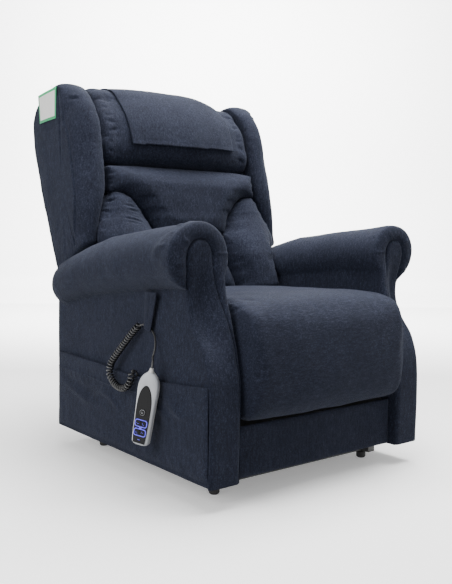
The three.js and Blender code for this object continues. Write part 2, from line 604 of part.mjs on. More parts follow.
// the straight lead from the handset up to the tab, then the curly lead down and into the pocket
const LEAD_R = 2.75;
const CURL_R = 9.5;
const CURL_END = [-391, 309, 296];

function addCord() {
  chair.updateMatrixWorld(true);
  const top = handset.localToWorld(
    new THREE.Vector3(0, RELIEF_FOOT + RELIEF_LENGTH + 2 * GAP, 0));
  const lead = [[top.x, top.y, top.z], [top.x + 1, top.y - 1, top.z + 12],
    [-394, 204, 345], [-386, 207, 365], [-377, 221, 388], [-372.2, 238, 402], [-371.8, 254, 412],
    [-372, 267, 417], [-376, 277, 419.5]];
  addMesh('handset_cord', cordAlong(lead, LEAD_R, 8, 26), blackPlastic);
  const curl = [[-382, 283, 418], [-384, 294, 409], [-386, 317, 390], [-389, 357, 354],
    [-392, 393, 320], [-394, 412, 296], [-395, 416, 273], [-395, 398, 252], [-395, 370, 242],
    [-395, 342, 243], [-394, 320, 256], [-392, 310, 275], CURL_END];
  addMesh('handset_curly_cord', cordAlong(curl, CURL_R, 10, 24), blackPlastic);
}

addBase();
addLiftArms();
addActuator(['lift_motor', 'lift_motor_rod'], LIFT_MOTOR, LIFT_CRANK, 0, 330, 268, 1);
addActuator(['back_motor', 'back_motor_rod'], BACK_MOTOR, BACK_LEVER, BACK_MOTOR_X, 280, 151, -1);
addSeatFrame();
addLegRest();
addArms();
addPanels();
addBackCushions();
addBackShell();
addBackFrame();
addHandset();
addCord();

// the origin is on the floor, under the middle of the object's box
const bounds = new THREE.Box3();
chair.updateMatrixWorld(true);
chair.children.forEach((child) => bounds.expandByObject(child, true));
const middle = bounds.getCenter(new THREE.Vector3());
chair.position.set(-middle.x, -middle.y, 0);

export default chair;
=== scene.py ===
"""Looks of a lift recliner chair: upholstery, cords, handset, finishes, floor, light and camera.

Shapes are written in millimetres in the part's drawing frame (+Z up, the sitter faces -Y, Y = 0 at the foot
of the arm fronts, X = 0 in the middle) and put() turns them into metres in the row frame.
"""
import json
import math

import bmesh
import bpy
import numpy as np
from mathutils import Matrix, Vector
from mathutils.bvhtree import BVHTree


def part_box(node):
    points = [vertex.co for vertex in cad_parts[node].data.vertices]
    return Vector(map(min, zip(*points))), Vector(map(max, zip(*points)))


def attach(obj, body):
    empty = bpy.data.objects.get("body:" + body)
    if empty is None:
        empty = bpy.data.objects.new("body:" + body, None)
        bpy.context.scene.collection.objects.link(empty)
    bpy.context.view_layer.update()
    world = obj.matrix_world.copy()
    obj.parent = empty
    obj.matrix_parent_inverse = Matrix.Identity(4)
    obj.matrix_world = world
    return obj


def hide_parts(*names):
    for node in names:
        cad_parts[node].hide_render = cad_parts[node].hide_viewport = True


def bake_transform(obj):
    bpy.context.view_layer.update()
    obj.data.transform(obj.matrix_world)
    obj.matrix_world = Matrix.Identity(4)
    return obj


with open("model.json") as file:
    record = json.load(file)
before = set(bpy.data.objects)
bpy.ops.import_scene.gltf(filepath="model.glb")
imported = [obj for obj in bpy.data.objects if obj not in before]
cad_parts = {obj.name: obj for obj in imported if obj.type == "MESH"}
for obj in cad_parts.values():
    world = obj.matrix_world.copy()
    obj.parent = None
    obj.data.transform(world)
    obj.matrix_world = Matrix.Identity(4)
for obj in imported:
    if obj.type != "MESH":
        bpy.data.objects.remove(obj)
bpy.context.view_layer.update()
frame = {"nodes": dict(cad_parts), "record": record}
MM = 0.001
_low, _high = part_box("foot_front_right")
FOOT_X, FOOT_Y = -0.271, 0.110      # that foot's middle in the drawing frame, in metres
SHIFT = np.array([(_low.x + _high.x) / 2 - FOOT_X, (_low.y + _high.y) / 2 - FOOT_Y, 0.0])


def put(points):
    return np.asarray(points, float) * MM + SHIFT


def place(x, y, z):
    return Vector(put([x, y, z]))


# ---- camera ---------------------------------------------------------------------------------------
CAMERA_AT = (-1439.07, -1413.70, 651.05)
ROLL = math.radians(0.57)


def add_camera():
    data = bpy.data.cameras.new("camera")
    data.lens, data.sensor_width = 47.85, 36.0
    data.shift_x, data.shift_y = -0.0053, -0.0416
    camera = bpy.data.objects.new("camera", data)
    bpy.context.scene.collection.objects.link(camera)
    target = place(0, 400, 550)
    back = (place(*CAMERA_AT) - target).normalized()
    across = Vector((0, 0, 1)).cross(back).normalized()
    up = back.cross(across)
    x = across * math.cos(ROLL) + up * math.sin(ROLL)
    y = -across * math.sin(ROLL) + up * math.cos(ROLL)
    turn = Matrix((x, y, back)).transposed().to_4x4()
    camera.matrix_world = Matrix.Translation(place(*CAMERA_AT)) @ turn
    bpy.context.scene.camera = camera


add_camera()


# ---- node materials ---------------------------------------------------------------------------------
class Nodes:
    """A small helper that builds one material's node tree."""

    def __init__(self, name):
        self.material = bpy.data.materials.new(name)
        self.material.use_nodes = True
        self.tree = self.material.node_tree
        self.shader = self.tree.nodes["Principled BSDF"]
        self.coordinates = self.tree.nodes.new("ShaderNodeTexCoord").outputs["Object"]

    def link(self, out, socket):
        self.tree.links.new(out, socket)

    def math(self, operation, a, b=0.0, c=0.0):
        node = self.tree.nodes.new("ShaderNodeMath")
        node.operation = operation
        for socket, value in zip(node.inputs, (a, b, c)):
            if isinstance(value, (int, float)):
                socket.default_value = value
            else:
                self.link(value, socket)
        return node.outputs[0]

    def stretch(self, scale):
        node = self.tree.nodes.new("ShaderNodeMapping")
        node.inputs["Scale"].default_value = scale
        self.link(self.coordinates, node.inputs["Vector"])
        return node.outputs[0]

    def noise(self, scale, detail=2.0, roughness=0.5, vector=None, distortion=0.0):
        node = self.tree.nodes.new("ShaderNodeTexNoise")
        node.inputs["Scale"].default_value = scale
        node.inputs["Detail"].default_value = detail
        node.inputs["Roughness"].default_value = roughness
        node.inputs["Distortion"].default_value = distortion
        self.link(vector or self.coordinates, node.inputs["Vector"])
        return node.outputs[0]

    def band(self, value, low, high, to_low=0.0, to_high=1.0):
        node = self.tree.nodes.new("ShaderNodeMapRange")
        for name, number in (("From Min", low), ("From Max", high), ("To Min", to_low),
                             ("To Max", to_high)):
            node.inputs[name].default_value = number
        self.link(value, node.inputs["Value"])
        return node.outputs[0]

    def ramp(self, value, stops):
        node = self.tree.nodes.new("ShaderNodeValToRGB")
        elements = node.color_ramp.elements
        while len(elements) < len(stops):
            elements.new(0.5)
        for element, (position, color) in zip(elements, stops):
            element.position = position
            element.color = (*color, 1)
        self.link(value, node.inputs["Fac"])
        return node.outputs["Color"]

    def blend(self, factor, a, b):
        node = self.tree.nodes.new("ShaderNodeMix")
        node.data_type = "RGBA"
        for index, value in ((0, factor), (6, a), (7, b)):
            if isinstance(value, (int, float)):
                node.inputs[index].default_value = value
            elif isinstance(value, tuple):
                node.inputs[index].default_value = (*value, 1)
            else:
                self.link(value, node.inputs[index])
        return node.outputs[2]

    def bump(self, height, distance, strength=1.0, under=None):
        node = self.tree.nodes.new("ShaderNodeBump")
        node.inputs["Distance"].default_value = distance
        node.inputs["Strength"].default_value = strength
        self.link(height, node.inputs["Height"])
        if under is not None:
            self.link(under, node.inputs["Normal"])
        return node.outputs[0]

    def finish(self, color, roughness, normal=None, **constants):
        for name, value in (("Base Color", color), ("Roughness", roughness), ("Normal", normal)):
            if value is None:
                continue
            if isinstance(value, (int, float)):
                self.shader.inputs[name].default_value = value
            elif isinstance(value, tuple):
                self.shader.inputs[name].default_value = (*value, 1)
            else:
                self.link(value, self.shader.inputs[name])
        for name, value in constants.items():
            self.shader.inputs[name.replace("_", " ")].default_value = value
        return self.material


def weave(n, pitch):
    """Height of a plain weave in threads of that pitch in metres, on faces that look any way."""
    parts = n.tree.nodes.new("ShaderNodeSeparateXYZ")
    wobble = n.noise(90.0, 2.0)
    n.link(n.coordinates, parts.inputs[0])
    shake = n.math("MULTIPLY", wobble, 5.0)
    waves = [n.math("SINE", n.math("MULTIPLY_ADD", parts.outputs[i], 2 * math.pi / pitch,
                                   shake)) for i in range(3)]
    crossings = [n.math("MULTIPLY", waves[i], waves[(i + 1) % 3]) for i in range(3)]
    return n.math("ADD", n.math("ADD", crossings[0], crossings[1]), crossings[2])


def make_cloth(name, grain_axis=2):
    """Melange cloth, whose flecks and slubs run along one axis."""
    n = Nodes(name)
    threads = weave(n, 0.0017)
    along = [i == grain_axis for i in range(3)]
    flecks = n.noise(430.0, 3.0, 0.65, n.stretch([0.5 if own_axis else 1 for own_axis in along]))
    slubs = n.noise(200.0, 3.0, 0.6, n.stretch([0.3 if own_axis else 1 for own_axis in along]))
    fine = n.noise(950.0, 2.0, 0.6)
    patches = n.noise(13.0, 3.0, 0.55)
    mix = n.math("ADD", n.math("MULTIPLY", flecks, 0.48), n.math("MULTIPLY", slubs, 0.25))
    mix = n.math("ADD", mix, n.math("MULTIPLY", fine, 0.20))
    mix = n.math("MULTIPLY_ADD", patches, 0.08, mix)
    mix = n.math("MULTIPLY_ADD", threads, 0.014, mix)
    tone = n.ramp(mix, [(0.36, (0.0044, 0.0054, 0.0104)), (0.46, (0.0088, 0.0109, 0.0205)),
                        (0.54, (0.0158, 0.0192, 0.0345)), (0.64, (0.0360, 0.0430, 0.0700))])
    height = n.math("MULTIPLY_ADD", flecks, 0.9, n.math("MULTIPLY", threads, 0.22))
    normal = n.bump(height, 0.0006, 0.75)
    normal = n.bump(slubs, 0.0008, 0.35, normal)
    rough = n.band(flecks, 0.3, 0.7, 0.82, 0.97)
    return n.finish(tone, rough, normal, Sheen_Weight=0.06, Sheen_Roughness=0.45,
                    Sheen_Tint=(0.62, 0.70, 0.90, 1), Specular_IOR_Level=0.15)


def make_metal(name, color, roughness, grain):
    n = Nodes(name)
    peel = n.noise(900.0, 2.0)
    cloud = n.noise(24.0, 3.0)
    tone = n.ramp(cloud, [(0.3, tuple(c * 0.75 for c in color)),
                          (0.7, tuple(min(1, c * 1.2) for c in color))])
    normal = n.bump(peel, 0.0002, grain)
    return n.finish(tone, n.band(cloud, 0.3, 0.7, roughness - 0.06, roughness + 0.08), normal, Metallic=0.9)


def make_paint(name):
    n = Nodes(name)
    peel = n.noise(1100.0, 2.0)
    dust = n.noise(38.0, 4.0, 0.6)
    tone = n.ramp(dust, [(0.35, (0.012, 0.012, 0.013)), (0.75, (0.030, 0.030, 0.031))])
    return n.finish(tone, n.band(dust, 0.3, 0.7, 0.38, 0.52), n.bump(peel, 0.00025, 0.5),
                    Specular_IOR_Level=0.5,
                    Coat_Weight=0.15, Coat_Roughness=0.35)


def make_plastic(name, color, roughness, texture, coat=0.0, spread=0.12):
    n = Nodes(name)
    grain = n.noise(1500.0, 2.0)
    cloud = n.noise(40.0, 3.0)
    tone = n.ramp(cloud, [(0.3, tuple(c * (1 - spread) for c in color)),
                          (0.7, tuple(min(1, c * (1 + spread)) for c in color))])
    return n.finish(tone, n.band(cloud, 0.3, 0.7, roughness - 0.04, roughness + 0.05),
                    n.bump(grain, 0.00015, texture),
                    Coat_Weight=coat, Coat_Roughness=0.12)


def make_wood(name):
    n = Nodes(name)
    grain = n.noise(60.0, 5.0, 0.6, n.stretch((0.06, 1, 1)), 0.6)
    pores = n.noise(420.0, 2.0, 0.5, n.stretch((0.05, 1, 1)))
    cloud = n.noise(7.0, 2.0)
    tone = n.ramp(grain, [(0.32, (0.30, 0.185, 0.085)), (0.5, (0.47, 0.32, 0.165)),
                          (0.7, (0.60, 0.44, 0.25))])
    tone = n.blend(n.band(pores, 0.58, 0.75, 0.0, 0.5), tone, (0.20, 0.115, 0.05))
    tone = n.blend(n.band(cloud, 0.3, 0.7, 0.0, 0.25), tone, (0.40, 0.27, 0.13))
    return n.finish(tone, n.band(grain, 0.3, 0.7, 0.55, 0.75), n.bump(pores, 0.0003, 0.5))


def make_light(name):
    n = Nodes(name)
    glow = n.noise(220.0, 2.0)
    tone = n.ramp(glow, [(0.3, (0.07, 0.06, 0.60)), (0.7, (0.15, 0.13, 0.85))])
    n.link(tone, n.shader.inputs["Emission Color"])
    return n.finish(tone, 0.3, n.bump(glow, 0.0001, 0.3), Emission_Strength=0.8)


def make_lint(name):
    """Non-woven dust cloth: black, with short pressed fibres."""
    n = Nodes(name)
    fibres = n.noise(700.0, 4.0, 0.7, distortion=1.5)
    tone = n.ramp(fibres, [(0.35, (0.006, 0.006, 0.007)), (0.7, (0.030, 0.030, 0.032))])
    return n.finish(tone, n.band(fibres, 0.3, 0.7, 0.85, 0.98), n.bump(fibres, 0.0004, 0.7))


CLOTH = make_cloth("navy_melange_cloth")
CLOTH_ACROSS = make_cloth("navy_melange_cloth_across", 0)
THREAD = make_plastic("navy_thread", (0.030, 0.037, 0.060), 0.75, 1.0)
PAINT = make_paint("black_powder_coat")
ZINC = make_metal("zinc_plate", (0.50, 0.51, 0.53), 0.30, 0.3)
BLACK = make_plastic("black_moulding", (0.007, 0.007, 0.008), 0.55, 0.9)
PANEL = make_plastic("dark_grey_overlay", (0.012, 0.012, 0.013), 0.52, 0.25)
PANEL.node_tree.nodes["Principled BSDF"].inputs["Specular IOR Level"].default_value = 0.15
SILVER = make_plastic("silver_lacquer", (0.50, 0.52, 0.55), 0.30, 0.25, 0.35, 0.05)
WHITE = make_plastic("off_white_moulding", (0.66, 0.66, 0.65), 0.34, 0.3, 0.2, 0.04)
RUBBER = make_plastic("black_pvc", (0.011, 0.011, 0.012), 0.33, 0.5, 0.1)
GLOW = make_light("blue_backlight")
BIRCH = make_wood("birch_plywood")
LINT = make_lint("black_dust_cloth")
LINT_THICK = 1.2
PAPER = make_plastic("white_card", (0.80, 0.80, 0.78), 0.55, 0.4, 0.0, 0.03)
GREEN = make_plastic("green_card_edge", (0.02, 0.36, 0.14), 0.5, 0.4, 0.0, 0.05)
MATERIALS = {"navy_cloth": CLOTH, "black_steel": PAINT, "zinc_steel": ZINC, "black_plastic": BLACK,
             "dark_panel": PANEL, "silver_plastic": SILVER, "white_plastic": WHITE, "blue_light": GLOW,
             "birch_ply": BIRCH, "cord_black": RUBBER}


def dress_nodes():
    """Every carried-over CAD node gets its material; all but the base rails also get a small bevel on their
    edges.
    """
    slots = {part["node"]: part["material_slot"] for part in frame["record"]["subparts"]}
    for name, obj in frame["nodes"].items():
        obj.data.materials.clear()
        # the boards inside the upholstery are lined with dust cloth
        obj.data.materials.append(LINT if name in ("back_frame", "seat_deck") else MATERIALS[slots[name]])
        if name.startswith("base_rail"):
            obj.data.shade_flat()
            continue
        small = name.startswith(("key_", "handset"))
        weld = obj.modifiers.new("weld", "WELD")
        weld.merge_threshold = 0.00002
        bevel = obj.modifiers.new("edges", "BEVEL")
        bevel.width = 0.0004 if small else 0.0012
        bevel.segments = 2
        bevel.limit_method, bevel.angle_limit = "ANGLE", math.radians(32)
        bevel.use_clamp_overlap = True
        obj.data.shade_smooth()
        bevel.harden_normals = False
        smooth = obj.modifiers.new("normals", "WEIGHTED_NORMAL")
        smooth.keep_sharp = True


dress_nodes()


# ---- mesh helpers -----------------------------------------------------------------------------------
def new_mesh(name, points, faces, material):
    mesh = bpy.data.meshes.new(name)
    mesh.from_pydata([tuple(p) for p in put(points)], [], faces)
    mesh.materials.append(material)
    mesh.shade_smooth()
    obj = bpy.data.objects.new(name, mesh)
    bpy.context.scene.collection.objects.link(obj)
    return obj


def grid_faces(rows, columns, around=False, flip=False):
    faces = []
    for r in range(rows - 1):
        for c in range(columns if around else columns - 1):
            a, b = r * columns + c, r * columns + (c + 1) % columns
            quad = (a, b, b + columns, a + columns)
            faces.append(quad[::-1] if flip else quad)
    return faces


def sheet_mesh(name, grid, material, around=False, flip=False, caps=False):
    """A mesh through a (rows, columns, 3) array of points; caps close the first and last rows."""
    rows, columns = grid.shape[:2]
    points = grid.reshape(-1, 3)
    faces = grid_faces(rows, columns, around, flip)
    if caps:
        middles = [grid[0].mean(0), grid[-1].mean(0)]
        points = np.vstack([points, middles])
        for row, middle, turn in ((0, rows * columns, not flip), (rows - 1, rows * columns + 1, flip)):
            for c in range(columns):
                a, b = row * columns + c, row * columns + (c + 1) % columns
                faces.append((a, b, middle) if not turn else (b, a, middle))
    return new_mesh(name, points, faces, material)


def tube(name, points, radius, material, sides=8, closed=False):
    """A round tube through points; its section doesn't twist."""
    points = np.asarray(points, float)
    count = len(points)
    ahead = np.roll(points, -1, 0) - np.roll(points, 1, 0)
    if not closed:
        ahead[0], ahead[-1] = points[1] - points[0], points[-1] - points[-2]
    ahead /= np.linalg.norm(ahead, axis=1)[:, None]
    side = np.cross(ahead[0], [0.31, 0.17, 0.93])
    rings = []
    for i in range(count):
        side = side - ahead[i] * (side @ ahead[i])
        side /= np.linalg.norm(side)
        other = np.cross(ahead[i], side)
        angle = np.arange(sides) * 2 * math.pi / sides
        rings.append(points[i] + radius * (np.cos(angle)[:, None] * side + np.sin(angle)[:, None] * other))
    if closed:
        rings.append(rings[0])
        return sheet_mesh(name, np.array(rings), material, around=True)
    return sheet_mesh(name, np.array(rings), material, around=True, caps=True)


def merge(name, pieces):
    """Joins objects that ride together into one piece."""
    mesh = bpy.data.meshes.new(name)
    build = bmesh.new()
    materials = []
    for piece in pieces:
        for material in piece.data.materials:
            if material not in materials:
                materials.append(material)
    for piece in pieces:
        before = len(build.faces)
        build.from_mesh(piece.data)
        build.faces.ensure_lookup_table()
        index = materials.index(piece.data.materials[0])
        for face in build.faces[before:]:
            face.material_index = index
        bpy.data.objects.remove(piece)
    build.to_mesh(mesh)
    build.free()
    for material in materials:
        mesh.materials.append(material)
    obj = bpy.data.objects.new(name, mesh)
    bpy.context.scene.collection.objects.link(obj)
    return obj


def curve_through(points, count):
    """Catmull-Rom curve through points, as count points evenly spaced along it."""
    p = np.asarray(points, float)
    p = np.vstack([2 * p[0] - p[1], p, 2 * p[-1] - p[-2]])
    out = []
    for i in range(1, len(p) - 2):
        t = np.linspace(0, 1, 24, endpoint=False)[:, None]
        a, b, c, d = p[i - 1:i + 3]
        square, cube = 2 * a - 5 * b + 4 * c - d, 3 * b - a - 3 * c + d
        out.append(0.5 * (2 * b + (c - a) * t + square * t ** 2 + cube * t ** 3))
    out = np.vstack(out + [p[-2][None]])
    along = np.concatenate([[0], np.cumsum(np.linalg.norm(np.diff(out, axis=0), axis=1))])
    at = np.linspace(0, along[-1], count)
    return np.stack([np.interp(at, along, out[:, k]) for k in range(p.shape[1])], 1)


def at_x(x, line):
    """A line drawn as (y, z), placed at one x or at one x for each point."""
    return np.stack([np.broadcast_to(x, len(line)), line[:, 0], line[:, 1]], 1)


def rounded(share):
    """A quarter circle's rise: 0 at a share of 0, level from a share of 1."""
    return np.sqrt(np.clip(1 - (1 - np.clip(share, 0, 1)) ** 2, 0, 1))


def mirrored(side, points):
    """Points given for the left-hand side (+X), moved to that side of the chair."""
    return [(side * x, y, z) for x, y, z in points]


def lattice_noise(points, size, seed):
    """Smooth noise from -1 to 1 at points, with lumps about size millimetres across."""
    q = np.asarray(points, float) / size
    base = np.floor(q).astype(np.int64)
    f = q - base
    f = f * f * (3 - 2 * f)
    total = np.zeros(len(q))
    for corner in range(8):
        offset = np.array([corner & 1, corner >> 1 & 1, corner >> 2 & 1])
        h = (base + offset) @ np.array([73856093, 19349663, 83492791]) + seed * 2654435761
        h = (h ^ (h >> 13)) * 1274126177 & 0xFFFFFFFF
        h = (h ^ (h >> 16)) & 0xFFFF
        weight = np.prod(np.where(offset, f, 1 - f), 1)
        total += weight * (h / 32767.5 - 1)
    return total


def outward(obj):
    normals = np.zeros(len(obj.data.vertices) * 3)
    obj.data.vertices.foreach_get("normal", normals)
    return normals.reshape(-1, 3)


def in_drawing(obj):
    """The mesh's points in millimetres in the drawing frame."""
    points = np.zeros(len(obj.data.vertices) * 3)
    obj.data.vertices.foreach_get("co", points)
    return (points.reshape(-1, 3) - SHIFT) / MM


def set_points(obj, points):
    obj.data.vertices.foreach_set("co", put(points).ravel())
    obj.data.update()


def surface_tree(obj):
    bpy.context.view_layer.update()
    return BVHTree.FromObject(obj, bpy.context.evaluated_depsgraph_get())


def creases(obj, lines, noise=0.6, seed=1):
    """Presses lines into a soft surface.

    A line is (points, width, depth, taper): depth in mm, negative for a ridge; taper is the share of its
    length over which it dies away at each end. noise is a gentle unevenness.
    """
    points, normals = in_drawing(obj), outward(obj)
    push = np.zeros(len(points))
    tree = surface_tree(obj)       # the lines are first laid onto the surface
    for path, width, depth, taper in lines:
        path = np.asarray(path, float)
        if len(path) < 8:
            path = curve_through(path, 9)
        path = np.array([(np.array(tree.find_nearest(Vector(p))[0]) - SHIFT) / MM for p in put(path)])
        lengths = np.linalg.norm(np.diff(path, axis=0), axis=1)
        total, before = lengths.sum(), 0.0
        low, high = path.min(0) - 4 * width, path.max(0) + 4 * width
        near = np.where(((points > low) & (points < high)).all(1))[0]
        if not len(near):
            continue
        best, where = np.full(len(near), 1e9), np.zeros(len(near))
        for a, b, length in zip(path[:-1], path[1:], lengths):
            t = np.clip((points[near] - a) @ (b - a) / max(length ** 2, 1e-9), 0, 1)
            gap = np.linalg.norm(points[near] - a - t[:, None] * (b - a), axis=1)
            closer = gap < best
            best[closer] = gap[closer]
            where[closer] = (before + t * length)[closer] / total
            before += length
        fade = np.ones(len(near))
        if taper > 0:
            fade = np.clip(np.minimum(where, 1 - where) / taper, 0, 1) ** 0.8
        push[near] -= depth * fade * np.exp(-(best / width) ** 2)
    if noise:
        push += noise * (lattice_noise(points, 70, seed) + 0.5 * lattice_noise(points, 28, seed + 1))
    set_points(obj, points + normals * push[:, None])


def puckers(path, inward, count, reach, depth, seed, width=2.6, spread=0.35):
    """Short creases that run from points along a seam towards inward (a direction or a point function)."""
    draw = np.random.default_rng(seed)
    path = np.asarray(path, float)
    lines = []
    for i in range(count):
        s = (i + 0.5 + spread * draw.uniform(-1, 1)) / count * (len(path) - 1)
        k = min(int(s), len(path) - 2)
        start = path[k] + (s - k) * (path[k + 1] - path[k])
        way = np.asarray(inward(start) if callable(inward) else inward, float)
        way = way / np.linalg.norm(way)
        tangent = path[k + 1] - path[k]
        tangent = tangent / np.linalg.norm(tangent)
        length = reach * draw.uniform(0.55, 1.25)
        bend = tangent * draw.uniform(-0.25, 0.25)
        middle = start + (way + bend) * length * 0.5
        end = start + (way + 1.8 * bend) * length
        lines.append(([start - way * 3, middle, end], width * draw.uniform(0.8, 1.3),
                      depth * draw.uniform(0.5, 1.2), 0.45))
    return lines


def remesh(obj, voxel, smooth=4):
    """Even quads all over, with slightly rounded edges; modifiers are applied."""
    modifier = obj.modifiers.new("even", "REMESH")
    modifier.mode, modifier.voxel_size, modifier.use_smooth_shade = "VOXEL", voxel * MM, True
    if smooth:
        soft = obj.modifiers.new("soft", "SMOOTH")
        soft.factor, soft.iterations = 0.5, smooth
    bake(obj)


def bake(obj):
    bpy.context.view_layer.update()
    graph = bpy.context.evaluated_depsgraph_get()
    mesh = bpy.data.meshes.new_from_object(obj.evaluated_get(graph))
    obj.modifiers.clear()
    obj.data = mesh
    obj.data.shade_smooth()


CLOTH_STIFFNESS = 12.0


def swell(obj, pressure, cap, frames=18):
    """Cloth simulation: the cover is blown up from inside; no point moves further than cap millimetres."""
    start = in_drawing(obj)
    cloth = obj.modifiers.new("cover", "CLOTH")
    settings = cloth.settings
    settings.quality = 5
    settings.mass = 0.35
    settings.tension_stiffness = settings.compression_stiffness = CLOTH_STIFFNESS
    settings.shear_stiffness = CLOTH_STIFFNESS / 2
    settings.bending_stiffness = 0.6
    settings.use_pressure = True
    settings.uniform_pressure_force = pressure
    settings.effector_weights.gravity = 0
    cloth.collision_settings.use_collision = False
    cloth.point_cache.frame_start, cloth.point_cache.frame_end = 1, frames + 2
    scene = bpy.context.scene
    for step in range(1, frames + 1):
        scene.frame_set(step)
    bpy.context.view_layer.update()
    graph = bpy.context.evaluated_depsgraph_get()
    moved = np.zeros(len(obj.data.vertices) * 3)
    obj.evaluated_get(graph).data.vertices.foreach_get("co", moved)
    moved = (moved.reshape(-1, 3) - SHIFT) / MM
    obj.modifiers.clear()
    scene.frame_set(1)
    step = moved - start
    far = np.linalg.norm(step, axis=1)
    step *= np.minimum(1, cap / np.maximum(far, 1e-9))[:, None]
    if np.isfinite(step).all():
        set_points(obj, start + step)


def rest_on(obj, below, gap):
    """Moves the points that are under a surface, or nearer to it than gap, out to that distance."""
    tree = surface_tree(below)
    points = in_drawing(obj)
    for i, point in enumerate(put(points)):
        near, normal, _, _ = tree.find_nearest(Vector(point))
        height = (Vector(point) - near).dot(normal) / MM
        if height < gap:
            points[i] += (gap - height) * np.array(normal)
    set_points(obj, points)


def thicken(obj, thickness, side=0):
    """Gives a sheet its thickness in millimetres: to both sides, or inwards where side is -1."""
    solid = obj.modifiers.new("thickness", "SOLIDIFY")
    solid.thickness, solid.offset = thickness * MM, side
    bake(obj)


def finer(obj):
    modifier = obj.modifiers.new("finer", "SUBSURF")
    modifier.levels = modifier.render_levels = 1
    bake(obj)


def stitches(name, path, body, lift=0.3, pitch=5.0, radius=0.35):
    """A row of thread stitches along a path that lies on the cloth."""
    path = np.asarray(path, float)
    length = np.linalg.norm(np.diff(path, axis=0), axis=1).sum()
    count = max(int(length / pitch), 2)
    along = curve_through(path, count * 4 + 1)
    pieces = []
    for i in range(count):
        pieces.append(tube(f"{name}_{i}", along[4 * i:4 * i + 4], radius, THREAD, 5))
    obj = merge(name, pieces)
    return own(obj, body)


def own(obj, body):
    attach(obj, body)
    return obj


# ---- cord: one lead from the pocket, curled, up behind the tab and down into the handset -----------
LEAD_R = 2.6
CURL_AXIS = [(-391, 309, 296), (-392, 310, 275), (-394, 320, 256), (-395, 342, 243), (-395, 370, 242),
             (-395, 398, 252), (-395, 416, 273), (-394, 412, 296), (-392, 393, 320), (-389, 357, 354),
             (-386, 317, 390), (-384, 294, 409), (-382, 283, 418)]
LEAD_DOWN = [(-378.5, 277, 419.5), (-374, 267, 417.5), (-372.6, 254, 412), (-373, 238, 402),
             (-377, 221, 388),
             (-386, 207, 365), (-394, 204, 345)]
HANDSET = (Matrix.Translation(Vector((-410, 211, 214))) @ Matrix.Rotation(math.radians(-60), 4, "Z")
           @ Matrix.Rotation(math.pi / 2, 4, "X") @ Matrix.Rotation(math.radians(-9), 4, "Z"))
CURL_TURN_R = 7.1
CURL_PITCH = 9.4


def on_handset(x, y, z):
    return np.array(HANDSET @ Vector((x, y, z)))


def curled_route():
    axis = curve_through(CURL_AXIS, 700)
    length = np.linalg.norm(np.diff(axis, axis=0), axis=1).sum()
    turns = length / CURL_PITCH
    ahead = np.gradient(axis, axis=0)
    ahead /= np.linalg.norm(ahead, axis=1)[:, None]
    side = np.cross(ahead[0], [1.0, 0, 0])
    out = []
    for i, share in enumerate(np.linspace(0, 1, len(axis))):
        side = side - ahead[i] * (side @ ahead[i])
        side /= np.linalg.norm(side)
        other = np.cross(ahead[i], side)
        angle = 2 * math.pi * turns * share
        grow = min(1.0, share * turns / 1.2, (1 - share) * turns / 1.2)
        radius = CURL_TURN_R * (0.12 + 0.88 * max(grow, 0) ** 0.7)
        out.append(axis[i] + radius * (math.cos(angle) * side + math.sin(angle) * other))
    return np.array(out)


def add_cord():
    top = on_handset(0, 108, 0)
    above = on_handset(0, 122, 0)
    lead = curve_through([*LEAD_DOWN, above, top, on_handset(0, 98, 0)], 60)
    pocket = curve_through([(-372.5, 312, 268), (-374, 309, 284), (-380, 307, 297), (-388, 308, 302)], 14)
    curl = curled_route()
    route = np.vstack([pocket[:-1], curl[6:-6], lead])
    joints = (len(pocket) - 1, len(route) - len(lead))
    for _ in range(24):
        for joint in joints:
            span = slice(joint - 9, joint + 9)
            eased = (route[joint - 10:joint + 8] + 2 * route[span] + route[joint - 8:joint + 10]) / 4
            route[span] = eased
    data = bpy.data.curves.new("handset_lead", "CURVE")
    data.dimensions = "3D"
    spline = data.splines.new("POLY")
    spline.points.add(len(route) - 1)
    spline.points.foreach_set("co", np.hstack([put(route), np.ones((len(route), 1))]).ravel())
    data.bevel_depth, data.bevel_resolution, data.use_fill_caps = LEAD_R * MM, 3, True
    data.materials.append(RUBBER)
    cord = bpy.data.objects.new("handset_lead", data)
    bpy.context.scene.collection.objects.link(cord)
    own(cord, "chair")
    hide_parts("handset_cord", "handset_curly_cord")


add_cord()


# ---- arms ------------------------------------------------------------------------------------------
ARM_INNER, ARM_OUTER, ROLL_X, ARM_REAR, PANEL_BOTTOM = 282.0, 368.0, 350.0, 777.0, 58.0
FACE_Y, FACE_TOP = 62.0, 655.0      # where the facing stands at the arch, and where its S ends
PANEL_POINTS = 90                   # points up a side panel
FRONT_EDGE = curve_through([(-6, 58), (-9, 180), (-7, 290), (14, 362), (50, 412), (73, 460), (78, 514),
                            (65, 575), (59, 655)], 80)
ROLL_AT = np.array([(60, 597, 91, 84), (90, 597, 90, 84), (150, 592, 84, 81), (290, 579, 81, 81),
                    (450, 561, 78, 81), (560, 542, 75, 74),
                    (650, 520, 71, 71), (710, 504, 66, 69), (742, 496, 58, 63), (762, 489, 47, 50),
                    (777, 480, 30, 32)])
INNER_EDGE = curve_through([(-6, 58), (-9, 180), (-7, 290), (4, 350), (14, 400), (29, 455), (44, 505),
                            (53, 560), (60, 602),
                            (61, 655)], 80)
ROUNDING = 18.0      # depth over which the roll's cover turns in to the facing


def front_y(z, x=400.0):
    """Y of the arm's front face: a long S, shallower at its inner edge."""
    outer, inner = (np.interp(z, edge[:, 1], edge[:, 0]) for edge in (FRONT_EDGE, INNER_EDGE))
    share = np.clip((np.abs(x) - 286) / 66, 0, 1)
    return inner + (outer - inner) * share * share * (3 - 2 * share)


